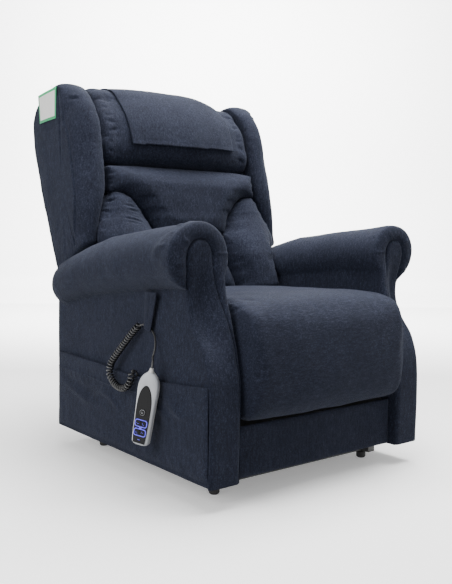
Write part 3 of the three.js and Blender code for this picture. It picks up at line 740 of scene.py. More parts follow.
def facing_sides(z):
    """|x| of the facing's inner and outer seams at a height, below its arch."""
    outer = np.interp(z, [58, 480, 510, 545, 580, 598], [374, 376, 380, 384, 388, 389])
    inner = np.interp(z, [58, 300, 380, 440, 500, 560, 598], [285, 286, 289, 296, 305, 314, 317])
    return inner, outer


ARCH_X, ARCH_Z, ARCH_W, ARCH_H = 352.5, 598.0, 35.5, 40.0


def arm_outlines(y):
    """Outline of the arm's cover at a station, and the facing's seam with as many points, as (x, z)."""
    zc, half_out, half_z = (np.interp(y, ROLL_AT[:, 0], ROLL_AT[:, k]) for k in (1, 2, 3))
    half_in = np.interp(y, [60, 110, 200], [84, 82, 78])
    cover, seam = [], []
    z_in = zc - half_z * math.sqrt(1 - ((ROLL_X - ARM_INNER) / half_in) ** 2)
    reach = min((ARM_OUTER - ROLL_X) / half_out, 0.98)
    z_out = zc - half_z * math.sqrt(1 - reach ** 2)
    for z in np.linspace(PANEL_BOTTOM, z_in, PANEL_POINTS):
        cover.append((ARM_INNER, z))
    start = math.pi + math.asin(min((zc - z_in) / half_z, 1))
    end = -math.acos(reach)
    angles = np.linspace(start, end, 110)[1:-1]
    for a in angles:
        half = half_in if math.cos(a) < 0 else half_out
        cover.append((ROLL_X + half * math.cos(a), zc + half_z * math.sin(a)))
    for z in np.linspace(z_out, PANEL_BOTTOM, PANEL_POINTS):
        cover.append((ARM_OUTER, z))
    cover = np.array(cover)
    inner, outer = facing_sides(cover[:, 1])
    seam = cover.copy()
    seam[:PANEL_POINTS, 0] = inner[:PANEL_POINTS]
    seam[-PANEL_POINTS:, 0] = outer[-PANEL_POINTS:]
    for i, a in enumerate(angles):
        z = cover[PANEL_POINTS + i, 1]
        if a > math.pi:
            seam[PANEL_POINTS + i] = (facing_sides(z)[0], z + 3 * (a - math.pi))
        elif a < 0:
            seam[PANEL_POINTS + i] = (facing_sides(z)[1], z)
        else:
            seam[PANEL_POINTS + i] = (ARCH_X + ARCH_W * math.cos(a), ARCH_Z + ARCH_H * math.sin(a))
    return cover, seam


def arm_cover(side):
    """The cover of the arm behind its facing: (stations, points around, 3)."""
    depths = np.concatenate([ROUNDING * (1 - np.cos(np.linspace(0, math.pi / 2, 16))),
                             np.linspace(ROUNDING, ARM_REAR - 62, 150)[1:]])
    rows = []
    for depth in depths:
        cover, seam = arm_outlines(FACE_Y + depth)
        share = min(depth / ROUNDING, 1)
        weight = max(1 - (1 - share) ** 3, 0) ** (1 / 3)
        outline = seam + (cover - seam) * weight
        # slack of the side panels: they swell a little between their seams
        z = outline[:, 1]
        run = depth / (ARM_REAR - FACE_Y)
        up = np.sin(np.clip((z - PANEL_BOTTOM) / 440, 0, 1) * math.pi)
        belly = up ** 0.6 * math.sin(math.pi * min(max(run, 0), 1)) ** 0.4
        order = np.arange(len(z))
        flat_in, flat_out = order < PANEL_POINTS, order >= len(z) - PANEL_POINTS
        outline[flat_in, 0] -= 1.5 * belly[flat_in]
        outline[flat_out, 0] += 5.0 * belly[flat_out] * (0.1 if side < 0 else 1.0)
        start = front_y(np.minimum(z, FACE_TOP), outline[:, 0])
        y = start + depth * (ARM_REAR - start) / (ARM_REAR - FACE_Y)
        dip = np.interp(z, [470, 560], [5.0, 9.0])
        rows.append(np.stack([side * outline[:, 0], y + dip * max(1 - weight / 0.3, 0) ** 2, z], 1))
    return np.array(rows)


def facing_panel(side):
    """The padded facing: rows up the S, each from the inner to the outer seam."""
    arch = ARCH_Z + ARCH_H * np.sin(np.linspace(0, math.pi / 2, 26))[1:-1]
    heights = np.concatenate([np.linspace(PANEL_BOTTOM, ARCH_Z, 130), arch])
    rows = []
    share = 0.5 - 0.5 * np.cos(np.linspace(0, math.pi, 33))
    for z in heights:
        if z <= ARCH_Z:
            inner, outer = facing_sides(z)
        else:
            half = ARCH_W * math.sqrt(1 - ((z - ARCH_Z) / ARCH_H) ** 2)
            inner, outer = ARCH_X - half, ARCH_X + half
        across = inner + (outer - inner) * share
        edge = np.minimum(np.minimum(across - inner, outer - across), ARCH_Z + ARCH_H - z) / 13
        crown = rounded(edge)
        y = front_y(min(z, FACE_TOP), across) + np.interp(z, [470, 560], [5.0, 9.0]) - 8.0 * crown
        rows.append(np.stack([side * across, y, np.full_like(across, z)], 1))
    return np.array(rows)


def add_arms():
    for side, hand in ((-1, "right"), (1, "left")):
        cover = sheet_mesh(f"arm_cover_{hand}", arm_cover(side), CLOTH, flip=side > 0)
        # the roll's cover is gathered into the facing's arch
        lines = []
        for i, degrees in enumerate((-38, -12, 16, 40, 62, 84, 112, 140)):
            a = math.radians(degrees)
            out = np.array([side * math.cos(a), 0, math.sin(a)])
            root = np.array([side * ARCH_X, 68, ARCH_Z]) + out * 39
            tip = np.array([side * ROLL_X, 84, 594]) + out * 74 + np.array([0, 22 + 10 * (i % 3), 0])
            lines.append(([root, (root + tip) / 2 + out * 9, tip], 5.5, (3.8, 2.6, 4.4, 3.0, 4.0, 2.2, 1.6,
                                                                         1.4)[i], 0.3))
        # long soft pulls in the roll behind the arch
        lines.append((mirrored(side, [(412, 92, 640), (424, 128, 610), (426, 150, 580)]), 14, 3.0, 0.4))
        lines.append((mirrored(side, [(396, 96, 655), (402, 150, 650), (398, 210, 648)]), 16, 1.6, 0.4))
        # the seam across the inner band, level with the arch
        lines.append((mirrored(side, [(276, 74, 603), (284, 64, 603), (300, 60, 604), (316, 60, 605)]), 2.2,
                      2.0, 0.0))
        # where the roll's underside is sewn to the side panel
        under = []
        for y in np.linspace(90, 740, 40):
            outline, _ = arm_outlines(y)
            under.append((side * ARM_OUTER, y, outline[-PANEL_POINTS, 1]))
        lines.append((under, 3.4, 4.0, 0.0))
        lines += puckers(under, (side * 0.5, 0, 1), 26, 26, 1.2, 11 + side, width=4.5)
        creases(cover, lines, 0.9, 5 + side)
        own(cover, "chair")
        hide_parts(f"arm_{hand}")
        facing = sheet_mesh(f"arm_facing_panel_{hand}", facing_panel(side), CLOTH, flip=side < 0)
        creases(facing, [], 0.5, 9 + side)
        own(facing, "chair")
        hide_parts(f"arm_facing_{hand}")
        close_arm(side, hand)


def close_arm(side, hand):
    """The arm's rear face and its underside of dust cloth."""
    outline, _ = arm_outlines(ARM_REAR)
    half = len(outline) // 2
    rows = []
    for share in np.linspace(0, 1, 12):
        left, right = outline[:half], outline[::-1][:half]
        points = left + (right - left) * share
        edge = min(share, 1 - share) * 86
        bulge = 2.5 * math.sqrt(1 - (1 - min(edge / 12, 1)) ** 2)
        rows.append(np.stack([side * points[:, 0], np.full(half, ARM_REAR - 5.5 + bulge), points[:, 1]], 1))
    rear = sheet_mesh(f"arm_rear_{hand}", np.array(rows), CLOTH, flip=side < 0)
    creases(rear, [], 0.5, 21 + side)
    own(rear, "chair")
    rows = []
    for share in np.linspace(0, 1, 10):
        x = side * (ARM_INNER + 3 + (ARM_OUTER - ARM_INNER - 5) * share)
        y = np.linspace(0, ARM_REAR - 3, 60)
        rows.append(np.stack([np.full(60, x), y, 60.5 + 1.2 * np.sin(y / 61.0) * math.sin(math.pi * share)],
                             1))
    below = sheet_mesh(f"arm_dust_cloth_{hand}", np.array(rows), LINT, flip=side < 0)
    own(below, "chair")


add_arms()


# ---- seat and leg rest: one pad that runs over the front edge ---------------------------------------
PAD_HALF = 270.0
PAD_OUTER = [(556, 470), (520, 479), (430, 486), (320, 489), (210, 491), (120, 493), (66, 493), (28, 490),
             (0, 482),
             (-24, 470), (-40, 446), (-49, 400), (-52, 340), (-50, 280), (-40, 232), (-22, 209), (4, 201)]
PAD_UNDER = [(26, 203), (52, 207), (63, 221), (63.5, 262), (63, 306), (52, 318), (47, 332), (46.5, 400),
             (47, 436), (58, 452), (62, 470), (67, 482),
             (72, 430), (74, 386), (110, 381.5), (250, 381.5), (400, 381.5), (530, 381.5), (552, 390),
             (558, 430), (560, 470)]


def add_pad():
    outer = curve_through(PAD_OUTER, 190)
    under = curve_through(PAD_UNDER, 110)
    loop = np.vstack([outer, under])
    count = len(loop)
    middle = np.vstack([curve_through([(540, 440), (300, 447), (110, 447), (30, 440), (4, 400), (0, 330),
                                       (4, 250), (14, 225)], 190),
                        curve_through([(14, 225), (10, 260), (4, 400), (30, 440), (110, 447), (300, 447),
                                       (540, 440)], 110)])
    turns = np.linspace(-1, 1, 113)
    across = PAD_HALF * np.sign(turns) * (1 - (1 - np.abs(turns)) ** 1.35)
    rows = []
    for x in across:
        edge = (PAD_HALF - abs(x)) / 24.0
        close = math.sqrt(max(1 - (1 - min(edge, 1)) ** 2, 0))
        tuck = 14.0 * (1 - close)
        crown = (3.0 + 5.0 * np.clip((loop[:, 1] - 400) / 80, 0, 1)) * (abs(x) / PAD_HALF) ** 2.6
        toward = middle - loop
        far = np.linalg.norm(toward, axis=1)[:, None]
        toward /= np.maximum(far, 1e-6)
        inset = np.where(np.arange(count) < len(outer), crown + tuck, 2 + 0.4 * tuck)[:, None]
        ring = loop + toward * np.minimum(inset, far * 0.6)
        rows.append(at_x(x, ring))
    obj = sheet_mesh("seat_and_leg_pad", np.array(rows), CLOTH_ACROSS, around=True, caps=True)
    swell(obj, 1.6, 5, 12)
    lines = []
    for side in (-1, 1):
        # the welt of the side gusset, which shows at the front corners
        corner = mirrored(side, [(268, 100, 462), (269, 74, 474), (269, 50, 474), (269, 33, 466),
                                 (269, 22, 450), (270, 17, 418), (270, 15, 370), (270, 16, 300),
                                 (270, 20, 232)])
        corner = curve_through(corner, 60)
        lines.append((corner, 3.0, 5.0, 0.0))
        lines.append((corner + np.array([0, -6, 4]), 4.0, -2.4, 0.0))
        lines += puckers(corner[4:30], (0, -1.0, 0.35), 7, 24, 1.8, 31 + side, width=4.0)
        lines.append((mirrored(side, [(250, 60, 508), (226, 36, 508), (200, 20, 503)]), 9, 2.2, 0.4))
    lines.append(([(-200, 300, 498), (-120, 250, 500), (-30, 262, 500)], 16, 1.6, 0.4))
    lines.append(([(40, 330, 498), (120, 300, 498), (205, 318, 494)], 18, 1.5, 0.4))
    creases(obj, lines, 1.3, 41)
    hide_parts("seat_cushion", "leg_rest_pad")
    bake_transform(obj)


add_pad()


# ---- lower panels -----------------------------------------------------------------------------------
def padded_panel(name, half_x, y_front, z_range, crown, body, node, facing=-1, edge=14.0, thick=14.0,
                 seed=51, lines=()):
    """An upright padded panel across the chair; facing -1 looks forward and 1 to the rear."""
    x = half_x * np.sin(np.linspace(-math.pi / 2, math.pi / 2, 91))
    z0, z1 = z_range
    z = (z0 + z1) / 2 + (z1 - z0) / 2 * np.sin(np.linspace(-math.pi / 2, math.pi / 2, 41))
    gx, gz = np.meshgrid(x, z)
    inside = np.minimum(half_x - np.abs(gx), np.minimum(gz - z0, z1 - gz)) / edge
    rise = rounded(inside)
    front = np.stack([gx, y_front + facing * (crown * rise - crown), gz], 2)
    obj = sheet_mesh(name, front, CLOTH, flip=facing > 0)
    thicken(obj, thick, -1)
    creases(obj, list(lines), 0.9, seed)
    own(obj, body)
    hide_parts(node)
    return obj


padded_panel("kickboard_panel", 280, 14, (60, 187), 5, "chair", "kickboard",
             lines=puckers([(-260, 14, 180), (260, 14, 180)], (0, 0, -1), 9, 30, 1.0, 61, width=6))
padded_panel("rear_panel_cover", 281.5, 776, (60, 331), 5, "chair", "rear_panel", facing=1, seed=53,
             lines=[([(-270, 777, 92), (270, 777, 92)], 2.0, 1.6, 0.0)]
             + puckers([(-260, 777, 322), (260, 777, 322)], (0, 0, -1), 12, 34, 1.0, 63, width=6))


def add_leg_rest_lip():
    """A lip of dust cloth along the foot of the leg rest, which closes the gap over the kick panel."""
    line = curve_through([(30, 184), (38, 190), (50, 197), (60, 203), (65, 212), (65.5, 228), (64.5, 240)],
                         24)
    rows = []
    for x in np.linspace(-266, 266, 71):
        slack = 0.8 * math.sin(x / 29.0) + 0.5 * math.sin(x / 13.0 + 1)
        sag = np.linspace(1, 0, 24) ** 2 * slack
        rows.append(np.stack([np.full(24, x), line[:, 0], line[:, 1] + sag], 1))
    obj = sheet_mesh("leg_rest_lip", np.array(rows), LINT)
    thicken(obj, LINT_THICK)
    own(obj, "leg_rest")


add_leg_rest_lip()


def add_pocket():
    """The flat pouch on the sitter's right, with a turned hem that sags open a little."""
    y0, y1 = 3, 768
    y = np.linspace(y0, y1, 154)
    mouth = np.interp(y, [4, 77, 189, 336, 435, 519, 772], [295, 289, 280, 276, 280, 285, 286])
    t = np.linspace(0, 1, 56)
    rows = []
    for v in t:
        z = 70 + (mouth - 70) * v
        open_out = 4.2 * v ** 3 * np.sin(np.clip((y - y0) / (y1 - y0), 0, 1) * math.pi) ** 0.7
        sag = 2.2 * v * np.sin(y / 96.0 + 1.1) * np.sin(np.clip((y - y0) / (y1 - y0), 0, 1) * math.pi)
        press = 3.2 * (1 - np.minimum(1, v / 0.06))
        press = press + 3.4 * (1 - np.clip(np.minimum(y - y0, y1 - y) / 16, 0, 1)) ** 2
        rows.append(np.stack([-(376.0 + open_out + sag - press), y, z], 1))
    grid = np.array(rows)
    # the hem turns over and down inside
    lip = grid[-1] + np.array([1.2, 0, 1.1])
    inside = [lip + np.array([1.3 + 0.2 * k, 0, -1.5 - 5.0 * k]) for k in range(6)]
    grid = np.concatenate([grid, lip[None], np.array(inside)])
    obj = sheet_mesh("pocket_pouch", grid, CLOTH)
    seam = [(-375, 6, 265), (-378, 120, 249), (-380, 260, 237), (-381, 413, 232), (-380, 518, 236),
            (-378, 640, 241), (-376, 762, 243)]
    seam = curve_through(seam, 60)
    lines = [(seam, 2.2, 2.4, 0.0)]
    lines += puckers(seam, (0, 0, 1), 34, 20, 1.1, 71, width=3.6)
    lines += puckers(seam, (0, 0, -1), 22, 34, 1.1, 72, width=6)
    lines += puckers([(-372, 30, 80), (-372, 760, 80)], (0, 0, 1), 20, 40, 1.0, 73, width=7)
    for a, b in (((-378, 300, 238), (-379, 150, 190)), ((-380, 420, 225), (-378, 560, 170)),
                 ((-379, 180, 232), (-377, 90, 205))):
        lines.append(([a, (np.array(a) + b) / 2 + np.array([0, 0, 8]), b], 12, 5.0, 0.4))
    # below the hem towards the rear the pouch sags in slack folds
    lines.append(([(-378, 740, 226), (-381, 640, 206), (-382, 540, 192), (-380, 450, 196)], 14, -4.0, 0.4))
    lines.append(([(-378, 736, 204), (-380, 650, 184), (-381, 560, 168), (-379, 470, 170)], 11, 4.5, 0.4))
    lines.append(([(-378, 500, 214), (-380, 440, 196), (-380, 390, 168)], 10, 4.0, 0.4))
    lines.append(([(-376, 40, 226), (-378, 90, 214), (-378, 150, 216)], 10, 4.0, 0.4))
    creases(obj, lines, 1.3, 75)
    own(obj, "chair")
    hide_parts("side_pocket")
    stitches("pocket_hem_stitches", seam[2:-2] + np.array([-0.6, 0, 1.0]), "chair")


add_pocket()


def add_tab():
    """A folded strip sewn under the roll; the lead passes behind its foot."""
    left = curve_through([(208, 503), (222, 462), (236, 418), (242, 400)], 40)
    right = curve_through([(262, 503), (266, 470), (270, 432), (271, 408)], 40)
    rows = []
    for share in np.linspace(0, 1, 15):
        line = left + (right - left) * share
        x = -(378.4 + 1.4 * math.sin(math.pi * share) + 3.4 * np.linspace(1, 0, 40) ** 3)
        rows.append(at_x(x, line))
    obj = sheet_mesh("lead_tab", np.array(rows), CLOTH, flip=True)
    thicken(obj, 1.8)
    middle = np.stack([np.full(40, -380.0), (left[:, 0] + right[:, 0]) / 2, left[:, 1]], 1)
    creases(obj, [(middle, 3.0, 1.2, 0.1)], 0.4, 81)
    own(obj, "chair")
    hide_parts("cord_tab")


add_tab()


# ---- backrest ---------------------------------------------------------------------------------------
LEAN = math.radians(9)
UP = np.array([0, math.sin(LEAN), math.cos(LEAN)])
OUT = np.array([0, -math.cos(LEAN), math.sin(LEAN)])
FOOT = np.array([0.0, 560.0, 480.0])
BACK_DEPTH = 104.0
FOOT_FULLNESS = 40      # how much thicker the back cushions are at the seat than at the top


def on_back(x, w, d=0.0):
    """Across, up the back and out of its front, as a point in the drawing frame."""
    x, w, d = (np.asarray(v, float) for v in (x, w, d))
    return FOOT + x[..., None] * np.array([1.0, 0, 0]) + w[..., None] * UP + d[..., None] * OUT


def edge_distance(points, outline):
    """How far points are inside a closed outline."""
    a = np.asarray(outline, float)
    b = np.roll(a, -1, 0)
    best = np.full(len(points), 1e9)
    inside = np.zeros(len(points), bool)
    for p, q in zip(a, b):
        t = np.clip((points - p) @ (q - p) / max((q - p) @ (q - p), 1e-9), 0, 1)
        best = np.minimum(best, np.linalg.norm(points - p - t[:, None] * (q - p), axis=1))
        crosses = (p[1] > points[:, 1]) != (q[1] > points[:, 1])
        with np.errstate(divide="ignore", invalid="ignore"):
            x = (q[0] - p[0]) * (points[:, 1] - p[1]) / (q[1] - p[1]) + p[0]
        inside ^= crosses & (points[:, 0] < x)
    return np.where(inside, best, 0.0)


def spread(obj, values, freedom, passes=60):
    """Evens values out over a mesh; where freedom is 0 they stay."""
    edges = np.zeros(len(obj.data.edges) * 2, int)
    obj.data.edges.foreach_get("vertices", edges)
    a, b = edges.reshape(-1, 2).T
    count = np.maximum(np.bincount(a, minlength=len(values)) + np.bincount(b, minlength=len(values)), 1)
    for _ in range(passes):
        total = np.bincount(a, values[b], len(values)) + np.bincount(b, values[a], len(values))
        values = values + freedom * 0.7 * (total / count - values)
    return values


def back_cushion(name, outline, crown, reach, lift=0.0, swelling=(3.0, 12), crowned=None, cheek=0.0):
    """A cushion of that outline on the backrest, crowned between its seams and thicker towards the seat.

    Where crowned is wider than outline, the cushion is pressed against its neighbour and stays full.
    """
    outline = np.asarray(outline, float)
    before = np.roll(outline, 1, 0)
    if (before[:, 0] * outline[:, 1] - outline[:, 0] * before[:, 1]).sum() < 0:
        outline = outline[::-1]
    base = on_back(outline[:, 0], outline[:, 1], np.full(len(outline), -BACK_DEPTH + 1))
    face = on_back(outline[:, 0], outline[:, 1], np.full(len(outline), 0.0))
    points = np.vstack([base, face])
    count = len(outline)
    faces = [tuple(range(count))[::-1], tuple(range(count, 2 * count))]
    faces += [(i, (i + 1) % count, (i + 1) % count + count, i + count) for i in range(count)]
    obj = new_mesh(name, points, faces, CLOTH)
    remesh(obj, 5.5, 3)
    points = in_drawing(obj)
    local = points - FOOT
    x, w, d = local[:, 0], local @ UP, local @ OUT
    gap = edge_distance(np.stack([x, w], 1), outline if crowned is None else crowned)
    rise = spread(obj, rounded(gap / reach), np.clip(gap / 16, 0, 1))
    low = np.clip(1 - w / 235, 0, 1)
    between_arms = np.clip((288 - np.abs(x)) / 16, 0, 1) + np.clip((w - 118) / 40, 0, 1) * 0.6
    top = lift - crown * (1 - rise) + FOOT_FULLNESS * low ** 1.2
    top = top + cheek * rise * np.clip(low * 1.7, 0, 1) * np.clip(between_arms, 0, 1)
    d = -BACK_DEPTH + (d + BACK_DEPTH) * (top + BACK_DEPTH) / BACK_DEPTH
    set_points(obj, on_back(x, w, d))
    swell(obj, *swelling)
    finer(obj)
    return obj


def seam_on_back(points, side, depth):
    """A seam drawn as (across, up the back) for the left-hand side, sunk into the back by depth."""
    across, up = np.array(points, float).T
    return on_back(side * across, up, np.full(len(up), -depth))


LUMBAR_EDGE = curve_through([(281, 302), (252, 303), (222, 294), (190, 266), (164, 228), (147, 196),
                             (134, 176)], 26)
STEM = [(122, 172), (126, 130), (133, 90), (141, 50), (150, -14)]
# outer edge of a bolster: between the arms, then out over their rolls and in again to the seam
BOLSTER_OUTER = [(269, -14), (270, 60), (271, 98), (288, 112), (310, 127), (328, 137), (333, 154),
                 (331, 178), (323, 206),
                 (312, 232), (298, 258), (284, 282), (272, 300)]


def add_back_cushions():
    edge = [tuple(p) for p in LUMBAR_EDGE]
    lumbar = [(281, 382), *edge, (100, 168), (50, 163), (0, 161)]
    outline = lumbar + [(-x, w) for x, w in lumbar[::-1][1:]]
    upper = back_cushion("lumbar_cushion_cover", outline, 36, 46, 13.0, (2.0, 7))
    low_half = [(0, 160), (60, 163), *STEM]
    outline = low_half + [(-x, w) for x, w in low_half[::-1][:-1]]
    lower = back_cushion("lower_back_cover", outline, 20, 46, -10.0, (2.5, 8))
    lines = []
    for side in (-1, 1):
        seam = seam_on_back(LUMBAR_EDGE, side, 22.0)
        lines += puckers(seam, lambda p, s=side: np.array([-s * 0.5, 0.1, 1.0]), 12, 26, 1.8, 91 + side,
                         width=4.5)
        end = on_back(np.full(9, side * 279.0), np.linspace(306, 376, 9), np.full(9, -20.0))
        lines += puckers(end, (-side, 0, 0), 5, 32, 2.4, 93 + side, width=4.5)
    top = on_back(np.linspace(-270, 270, 30), np.full(30, 381.0), np.full(30, -20.0))
    lines += puckers(top, (0, -0.1, -1), 22, 26, 1.5, 97, width=5)
    creases(upper, lines, 1.6, 101)
    creases(lower, puckers(on_back(np.linspace(-115, 115, 20), np.full(20, 160.0), np.full(20, -20.0)),
                           (0, 0, -1), 9, 30, 1.6, 99, width=5), 1.2, 103)
    for obj, fill in ((upper, 0.85), (lower, 0.7)):
        own(obj, "backrest")
    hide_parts("lumbar_cushion")
    for side, hand in ((-1, "right"), (1, "left")):
        inner = [(x, w) for x, w in edge if x < 276] + STEM
        outline = [(x, w - 2.0) if w > 175 else (x + 2.5, w) for x, w in inner] + BOLSTER_OUTER
        outline = [(side * x, w) for x, w in outline]
        crowned = [(side * x, w) for x, w in [(150, -50)] + [(x, w - 2.0) if w > 175 else (x + 2.5,
                                                                                           w) for x,
                                                             w in inner][::-1]
                   + BOLSTER_OUTER[:4:-1] + [(350, 140), (330, 90), (320, -50)]]
        obj = back_cushion(f"bolster_cover_{hand}", outline, 40, 50, 19.0, (2.0, 7), crowned, 34.0)
        outer = seam_on_back([(x - 3.0, w) for x, w in BOLSTER_OUTER[3:]], side, 24.0)
        lines = puckers(outer, (-side, 0, -0.12), 7, 34, 4.2, 111 + side, width=3.4)
        seam = seam_on_back(inner, side, 20.0)
        lines += puckers(seam, lambda p, s=side: np.array([s * 0.6, 0.0, -0.8]), 13, 24, 1.6, 113 + side,
                         width=4.5)
        if side < 0:
            # the gathers in the middle of this cushion
            for k, (w, x0, x1, depth) in enumerate(((262, 196, 240, 1.6), (250, 190, 250, 3.2),
                                                    (238, 186, 244, 3.6),
                                                    (226, 196, 254, 2.6), (214, 204, 250, 2.2),
                                                    (198, 200, 262, 3.0),
                                                    (184, 212, 262, 1.8))):
                xs = -np.linspace(x0, x1, 6)
                ws = w + 5 * np.sin(np.linspace(0, 3.0, 6) + k) + np.linspace(-5, 4, 6)
                lines.append((on_back(xs, ws, np.full(6, 10.0)), 4.2, depth, 0.4))
                lines.append((on_back(xs, ws + 7, np.full(6, 12.0)), 4.0, -depth * 0.5, 0.4))
        creases(obj, lines, 1.6, 121 + side)
        own(obj, "backrest")
        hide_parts(f"bolster_{hand}")


add_back_cushions()

HEAD_FRONT = curve_through([(668, 858), (650, 865), (633, 886), (624, 914), (626, 945), (634, 978),
                            (650, 1018), (680, 1062),
                            (722, 1096), (780, 1110), (840, 1106), (884, 1085), (905, 1050)], 150)
HEAD_HALF = 283.0


def head_section(x):
    """The head cushion's front and top at x, drawn in towards its ends."""
    edge = (HEAD_HALF - abs(x)) / 34.0
    inset = 22.0 * (1 - math.sqrt(max(1 - (1 - min(edge, 1)) ** 2, 0)))
    share = min(abs(x) / 200.0, 1.18) ** 2.2
    y, z = HEAD_FRONT.T
    back = 24.0 * share * np.interp(z, [850, 940, 1070, 1106], [0.3, 0.9, 1.0, 0.2]) * (y < 790)
    fall = 9.0 * min(share, 1.05) + 17.0 * np.clip((x - 105) / 95, 0, 1) ** 1.4
    down = fall * np.clip((z - 1000) / 90, 0, 1)
    middle = np.array([770.0, 930.0])
    toward = middle - HEAD_FRONT
    far = np.linalg.norm(toward, axis=1)[:, None]
    return HEAD_FRONT + toward / far * inset + np.stack([back, -down], 1)


def add_head():
    turns = np.linspace(-1, 1, 121)
    across = HEAD_HALF * np.sign(turns) * (1 - (1 - np.abs(turns)) ** 1.4)
    back = curve_through([(905, 1050), (880, 1030), (820, 1000), (770, 940), (744, 872), (712, 858),
                          (690, 855), (668, 858)], 60)[1:-1]
    rows = []
    for x in across:
        loop = np.vstack([head_section(x), back])
        rows.append(at_x(x, loop))
    obj = sheet_mesh("head_cushion_cover", np.array(rows), CLOTH, around=True, caps=True, flip=True)
    swell(obj, 1.8, 4, 12)
    lines = []
    for side in (-1, 1):
        end = [(side * 276, y, z) for y, z in curve_through([(632, 880), (632, 950), (650, 1010),
                                                             (690, 1060), (760, 1094)], 24)]
        lines += puckers(end, (-side, 0, 0.1), 8, 42, 3.4, 131 + side, width=5.0)
    low = [(x, 640, 878) for x in np.linspace(-262, 262, 30)]
    lines += puckers(low, (0, -0.1, 1), 24, 24, 1.6, 137, width=5)
    creases(obj, lines, 1.6, 141)
    own(obj, "backrest")
    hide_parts("head_cushion")


def add_flap():
    """A loose head cover: its hem hangs over the front of the head cushion."""
    rows = []
    length = 0.0
    for x in np.linspace(-200, 200, 121):
        section = head_section(x)
        hem = 921 + 0.014 * x
        first = int(np.argmax(section[:, 1] > hem))
        last = int(np.argmax(section[:, 0] > 848))
        path = curve_through(section[first:last:8], 90)
        ahead = np.gradient(path, axis=0)
        ahead /= np.linalg.norm(ahead, axis=1)[:, None]
        normal = np.stack([-ahead[:, 1], ahead[:, 0]], 1)
        down = np.linspace(1, 0, len(path))
        wave = 1.8 * math.sin(x / 46.0 + 0.6) * down ** 2 + 1.0 * math.sin(x / 19.0) * down ** 3
        edge = max(0.0, (abs(x) - 188) / 12)
        lift = 5.0 + wave + 6.5 * down ** 6 - 1.2 * edge
        line = path + normal * lift[:, None]
        length = max(length, np.linalg.norm(np.diff(line, axis=0), axis=1).sum())
        wide = 0.97 + 0.13 * (1 - down) ** 1.2 if x < 0 else 1 - 0.01 * down
        rows.append(at_x(x * wide, line))
    obj = sheet_mesh("head_cover_flap", np.array(rows), CLOTH, flip=False)
    creases(obj, [], 1.1, 151)
    rest_on(obj, bpy.data.objects["head_cushion_cover"], 3.0)
    thicken(obj, 3.2)
    corners = [np.array(row)[4] + np.array([0, -3.0, 0]) for row in rows[2:-2:4]]
    creases(obj, [(corners, 1.8, 0.5, 0.0)], 0, 152)
    own(obj, "backrest")
    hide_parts("head_flap")


add_head()
add_flap()

WING_EDGE = np.vstack([curve_through([(604, 622), (602, 650), (602, 720), (607, 785), (618, 837),
                                      (634, 905), (648, 975), (662, 1015),
                                      (684, 1050), (713, 1078), (777, 1106), (850, 1094), (910, 1064),
                                      (945, 1030),
                                      (955, 985), (934, 881), (865, 706), (790, 545)], 210),
                       curve_through([(783, 533), (775, 527), (759, 522), (724, 542), (686, 565),
                                      (650, 588), (618, 606), (609, 613)], 60)])
WING_AXIS = np.vstack([curve_through([(664, 640), (662, 760), (690, 880), (720, 960), (775, 1000),
                                      (850, 985), (868, 940), (840, 840),
                                      (780, 700), (740, 600), (690, 600)], 210),
                       curve_through([(690, 600), (680, 606), (672, 620), (664, 640)], 60)])
WING_SEAM = curve_through([(800, 1092), (776, 1080), (759, 1020), (746, 958), (732, 910), (717, 862),
                           (703, 836), (691, 816),
                           (683, 740), (678, 679), (668, 650), (659, 615)], 80)
WING_OUTER = 374.5


def wing_rings(side):
    """Rings of a wing from inside to outside: a round front roll that widens back to the outer seam."""
    y, z = WING_EDGE.T
    toward = WING_AXIS - WING_EDGE
    far = np.linalg.norm(toward, axis=1)
    toward = toward / np.maximum(far, 1e-6)[:, None]
    front = np.clip((765 - y) / 70, 0, 1) * np.clip((z - 604) / 40, 0.15, 1)
    face = np.interp(z, [600, 629, 653, 688, 731, 775, 793, 837, 925, 989, 1050],
                     [328, 326, 323, 317, 307, 295, 291, 289, 286, 287, 290])
    roll = np.interp(z, [600, 653, 688, 731, 775, 793], [20, 22, 24, 28, 30, 32])
    inner = np.where(z > 800, 285 + (face - 285) * front, face)
    half = (WING_OUTER - inner) / 2
    half = half + (roll - half) * front
    deep = np.minimum(14 + (roll - 14) * front, far * 0.8)
    run = np.clip(np.interp(z, [610, 650, 740, 816, 862, 1000], [56, 62, 78, 80, 94, 96]) * front, deep,
                  np.maximum(far * 0.9, deep))
    rest = WING_OUTER - inner - 2 * half
    rows = []
    for a in np.linspace(-math.pi / 2, math.pi / 2, 61):
        back = (1 - math.cos(a)) ** 1.7 if a > 0 else 0.0
        inset = deep * (1 - math.cos(a)) + (run - deep) * back
        x = inner + half * (1 + math.sin(a)) + rest * math.sin(math.pi / 2 * back)
        ring = WING_EDGE + toward * inset[:, None]
        rows.append(at_x(side * x, ring))
    outside, inside = [], []
    for share in np.linspace(0, 1, 16)[1:]:
        for target, ring in ((outside, rows[-1]), (inside, rows[0])):
            flat = ring[:, 1:] + (WING_AXIS - ring[:, 1:]) * share * 0.97
            belly = 3.5 * math.sin(math.pi / 2 * share) if target is outside else 0.5
            target.append(np.stack([ring[:, 0] + side * belly, flat[:, 0], flat[:, 1]], 1))
    return np.array(inside[::-1] + rows + outside)


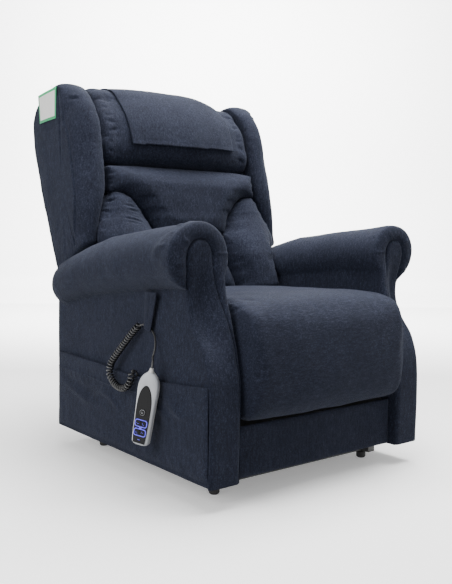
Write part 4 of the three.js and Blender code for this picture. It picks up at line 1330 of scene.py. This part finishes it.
def add_wings():
    for side, hand in ((-1, "right"), (1, "left")):
        obj = sheet_mesh(f"wing_cover_{hand}", wing_rings(side), CLOTH, around=True, caps=True,
                         flip=side > 0)
        seam = np.stack([np.full(80, side * 375.5), WING_SEAM[:, 0], WING_SEAM[:, 1]], 1)
        lines = [(seam, 4.0, 4.2, 0.0), (seam + np.array([0, -16, 0]), 11.0, -2.0, 0.15),
                 (seam + np.array([0, 13, 0]), 10.0, -1.2, 0.15)]
        # the dart at the top of the front roll
        lines.append((mirrored(side, [(374, 722, 1052), (362, 706, 1056), (348, 694, 1056)]), 3.2, 5.5,
                      0.3))
        lines.append((mirrored(side, [(372, 716, 1064), (356, 700, 1066), (340, 690, 1062)]), 6.0, -2.2,
                      0.3))
        lines.append((mirrored(side, [(372, 724, 1038), (360, 706, 1042), (350, 694, 1044)]), 6.0, -1.6,
                      0.3))
        inner = [(side * 290, y, z) for y, z in curve_through([(650, 790), (652, 860), (664, 940),
                                                               (700, 1030)], 20)]
        lines += puckers(inner, (0, -1, 0.1), 7, 30, 2.0, 161 + side, width=5)
        foot = mirrored(side, [(374, 640, 612), (374, 700, 575), (374, 760, 540)])
        lines += puckers(foot, (0, 0.1, 1), 6, 50, 2.0, 163 + side, width=8)
        lines.append((mirrored(side, [(376, 840, 1040), (377, 800, 900), (376, 760, 760)]), 30, 1.6, 0.4))
        creases(obj, lines, 1.5, 171 + side)
        own(obj, "backrest")
        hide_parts(f"wing_{hand}")


add_wings()


def add_back_cover():
    """The rear of the backrest: a stuffed outer back with a cross seam."""
    outer = curve_through([(702, 404), (742, 458), (784, 546), (820, 622), (857, 706), (893, 797),
                           (925, 881), (942, 950),
                           (947, 992), (938, 1036), (915, 1066), (890, 1082)], 130)
    rows = []
    for u in np.linspace(-1, 1, 101):
        x_share = math.sin(u * math.pi / 2)
        half = np.interp(outer[:, 1], [400, 570, 600, 1090], [266, 266, 286, 286])
        x = half * x_share
        edge = (half - np.abs(x)) / 22
        drop = 9 * (1 - rounded(edge))
        ahead = np.gradient(outer, axis=0)
        ahead /= np.linalg.norm(ahead, axis=1)[:, None]
        normal = np.stack([ahead[:, 1], -ahead[:, 0]], 1)
        belly = 3.0 * math.cos(u * math.pi / 2) * np.sin(np.linspace(0, math.pi, 130))
        line = outer + normal * (belly - drop)[:, None]
        rows.append(at_x(x, line))
    obj = sheet_mesh("back_outer_cover", np.array(rows), CLOTH, flip=True)
    thicken(obj, 9, -1)
    seam = [(x, 790, 560) for x in np.linspace(-262, 262, 40)]
    lines = [(seam, 2.4, 2.2, 0.0)]
    lines += puckers(seam, (0, 0.3, 1), 16, 36, 1.3, 181, width=6)
    lines += puckers([(x, 915, 1068) for x in np.linspace(-270, 270, 30)], (0, 0.4, -1), 14, 50, 1.4, 183,
                     width=7)
    creases(obj, lines, 1.6, 185)
    own(obj, "backrest")
    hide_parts("back_cover")


add_back_cover()


def add_rear_apron():
    """Dust cloth between the outer back's foot and the rear panel."""
    line = curve_through([(712, 420), (708, 408), (718, 384), (742, 356), (764, 336), (767, 322),
                          (765, 306)], 40)
    rows = []
    for x in np.linspace(-262, 262, 61):
        slack = 3.0 * math.sin(x / 37.0) + 1.5 * math.sin(x / 15.0)
        bow = np.sin(np.linspace(0, math.pi, 40))[:, None] * np.array([0.7, 0.7]) * slack
        points = line + bow
        rows.append(at_x(x, points))
    obj = sheet_mesh("rear_apron", np.array(rows), LINT)
    thicken(obj, LINT_THICK)
    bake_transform(obj)


add_rear_apron()


# ---- handset ----------------------------------------------------------------------------------------
SHELL_SIDE = curve_through([(15, -90.5), (21, -87.5), (23.6, -81), (25, -50), (26, -15), (27, 15),
                            (28.3, 42), (27.8, 60),
                            (24.8, 74), (18.5, 85), (11, 92), (8.2, 94.5)], 90)


def shell_half(front):
    """Half of the handset's shell: rings across it, from its foot to its neck."""
    rows = []
    for half, y in SHELL_SIDE:
        depth = 13.2 if front else 12.0
        near_end = min(1.0, (y + 93) / 9.0)
        depth *= math.sqrt(max(1 - (1 - near_end) ** 2, 0.05)) * (1 - 0.42 * max(0.0, (y - 50) / 45) ** 1.6)
        line = []
        for a in np.linspace(0, math.pi, 31):
            c, s = math.cos(a), math.sin(a)
            x = half * math.copysign(abs(c) ** 0.62, c)
            z = (0.25 + (depth - 0.25) * abs(s) ** 0.75) * (1 if front else -1)
            line.append(on_handset(x, y, z))
        rows.append(line)
    return np.array(rows)


def add_handset():
    for front, name, node, material, slot in ((True, "handset_front", "handset_front_shell", SILVER,
                                               "silver_plastic"),
                                              (False, "handset_back", "handset_back_shell", WHITE,
                                               "white_plastic")):
        grid = shell_half(front)
        obj = sheet_mesh(name, grid, material, flip=front)
        build = bmesh.new()
        build.from_mesh(obj.data)
        bmesh.ops.holes_fill(build, edges=[e for e in build.edges if e.is_boundary])
        bmesh.ops.recalc_face_normals(build, faces=build.faces)
        build.to_mesh(obj.data)
        build.free()
        obj.data.shade_smooth()
        own(obj, "chair")
        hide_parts(node)
    # the dark insert, let in flush with the crowned face
    arch = curve_through([(-16.5, -85), (-18.4, -60), (-19.6, -20), (-19.6, 12), (-16.5, 38), (-9.5, 55),
                          (0, 62),
                          (9.5, 55), (16.5, 38), (19.6, 12), (19.6, -20), (18.4, -60), (16.5, -85)], 96)
    rows = []
    for inset, z in ((0, 12.2), (0, 13.7), (0.7, 14.1), (6, 14.15), (12, 14.2)):
        centre = np.array([0, -20.0])
        toward = centre - arch
        far = np.linalg.norm(toward, axis=1)[:, None]
        ring = arch + toward / far * np.minimum(inset, far)
        rows.append([on_handset(x, y, z) for x, y in ring])
    panel = sheet_mesh("handset_insert", np.array(rows), PANEL, around=True, caps=True, flip=False)
    own(panel, "chair")
    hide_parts("handset_panel")
    # ribbed strain relief
    rows = []
    for y in np.linspace(88, 104.4, 70):
        if y < 95.5:
            r = 7.6 + 0.4 * math.sin((y - 88) / 7.5 * math.pi)
        else:
            r = 6.2 - 1.8 * (y - 95.5) / 9 + (0.35 if int((y - 95.5) / 1.8) % 2 == 0 else -0.3)
        angles = np.arange(28) * 2 * math.pi / 28
        rows.append([on_handset(r * math.cos(a), y, r * math.sin(a)) for a in angles])
    relief = sheet_mesh("handset_relief", np.array(rows), WHITE, around=True, caps=True, flip=True)
    own(relief, "chair")
    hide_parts("handset_cord_relief")
    # generic line symbols on the keys: a reclined and an upright seat, a chair low and raised
    symbols = {"key_back_down": [(-3.6, 1.2), (-1.2, -1.6), (1.6, -1.6), (3.4, -0.2)],
               "key_back_up": [(-2.2, 3.0), (-1.4, -1.6), (1.6, -1.6), (1.8, -3.2)],
               "key_lift_down": [(-2.4, 2.0), (-2.0, -1.8), (1.4, -1.8), (1.6, -3.4)],
               "key_lift_up": [(-0.6, 3.4), (-1.8, -0.2), (1.8, 1.6), (2.8, -0.8)]}
    places = {"key_back_down": (-7.2, -34), "key_back_up": (7.2, -34), "key_lift_down": (-7.2, -57),
              "key_lift_up": (7.2, -57)}
    for key, path in symbols.items():
        px, py = places[key]
        line = [on_handset(px + x, py + y, 17.45) for x, y in path]
        mark = tube(f"{key}_symbol", line, 0.32, GLOW, 6)
        own(mark, key)
    turn = np.arange(40) * 2 * math.pi / 40
    ring = [on_handset(6.6 * math.cos(a), -6 + 6.6 * math.sin(a), 16.3) for a in turn]
    own(tube("stop_key_ring", ring, 0.55, SILVER, 8, closed=True), "key_stop")
    mark = [on_handset(2.4 * math.cos(a), -6 + 2.4 * math.sin(a), 17.4) for a in np.linspace(2.2, 7.2, 24)]
    own(tube("stop_key_symbol", mark, 0.3, SILVER, 6), "key_stop")
    slit = [on_handset(x, -76, 14.25) for x in (-3.2, -1, 1, 3.2)]
    own(tube("handset_lamp", slit, 0.6, GLOW, 8), "chair")


add_handset()


# ---- swing tag on the wing ----------------------------------------------------------------------------
def add_tag():
    corners = np.array([(-377.5, 777, 1093), (-378.5, 903, 1080), (-381.0, 884, 990), (-380.0, 775, 996)])
    rows = []
    for v in np.linspace(0, 1, 12):
        left = corners[0] + (corners[3] - corners[0]) * v
        right = corners[1] + (corners[2] - corners[1]) * v
        line = [left + (right - left) * u + np.array([-1.6 * math.sin(math.pi * u), 0, 0])
                for u in np.linspace(0, 1, 16)]
        rows.append(line)
    grid = np.array(rows)
    obj = sheet_mesh("swing_tag", grid, PAPER)
    obj.data.materials.append(GREEN)
    for polygon in obj.data.polygons:
        r, c = divmod(polygon.index, 15)
        if r in (0, 10) or c in (0, 14):
            polygon.material_index = 1
    thicken(obj, 0.5)
    own(obj, "backrest")
    loop = curve_through([(-378, 800, 1088), (-380, 806, 1096), (-377, 812, 1100), (-372, 812, 1096)], 20)
    own(tube("swing_tag_thread", loop, 0.5, PAPER, 6), "backrest")


add_tag()


# ---- power supply details ------------------------------------------------------------------------------
def add_supply_details():
    for k, (dx, dz) in enumerate(((-5, 1.5), (5, 1.5), (0, -2.5))):
        x, z = 161 + dx, 50.3 + 23 + dz
        path = [(x, 695, z), (x, 698, z), (x, 702.5, z)]
        own(tube(f"inlet_pin_{k}", path, 1.1, ZINC, 10), "base")


add_supply_details()


# ---- floor, backdrop and light ---------------------------------------------------------------------------
STUDIO_TURN = math.radians(-38.4)      # the backdrop stands square to the camera


def add_stage():
    """A white floor that curves up into a backdrop; its bounced light does not reach the chair."""
    material = bpy.data.materials.new("studio_white")
    material.use_nodes = True
    shader = material.node_tree.nodes["Principled BSDF"]
    shader.inputs["Base Color"].default_value = (0.97, 0.97, 0.97, 1)
    shader.inputs["Roughness"].default_value = 0.9
    shader.inputs["Emission Color"].default_value = (1, 1, 1, 1)
    shader.inputs["Emission Strength"].default_value = 0.28
    x = np.linspace(-9000, 9000, 3)
    profile = [(-8000, 0), (4000, 0), (5200, 120), (6000, 700), (6400, 1800), (6500, 6000)]
    rows = np.array([[(a, y, z) for a in x] for y, z in curve_through(profile, 60)])
    rows[:, :, 2] = np.maximum(rows[:, :, 2], 0)
    turn = Matrix.Rotation(STUDIO_TURN, 3, "Z")
    points = rows.reshape(-1, 3) @ np.array(turn.transposed())
    obj = new_mesh("floor", points, grid_faces(60, 3), material)
    obj.visible_diffuse = False


def add_light(name, at, aim, size, power, color=(1, 1, 1)):
    data = bpy.data.lights.new(name, "AREA")
    data.shape, data.size, data.size_y = "RECTANGLE", *size
    data.energy, data.color = power, color
    obj = bpy.data.objects.new(name, data)
    obj.location = at
    obj.rotation_euler = (Vector(aim) - Vector(at)).to_track_quat("-Z", "Y").to_euler()
    bpy.context.scene.collection.objects.link(obj)


add_stage()
add_light("top", (0.5, -0.15, 3.4), (0.05, 0.05, 0.4), (2.6, 2.6), 335)
add_light("left", (-3.4, -0.2, 2.0), (0, 0, 0.6), (2.4, 2.2), 100)
add_light("front", (-0.6, -3.8, 1.8), (0, 0, 0.5), (2.4, 1.8), 16)
add_light("right", (3.2, -1.4, 1.6), (0, 0, 0.5), (1.8, 1.8), 6)
add_light("backdrop", (1.5, 2.1, 3.2), (3.9, 5.0, 1.6), (4.0, 1.5), 1300)
world = bpy.data.worlds.new("studio")
world.use_nodes = True
world.node_tree.nodes["Background"].inputs["Color"].default_value = (1, 1, 1, 1)
world.node_tree.nodes["Background"].inputs["Strength"].default_value = 0.50
bpy.context.scene.world = world
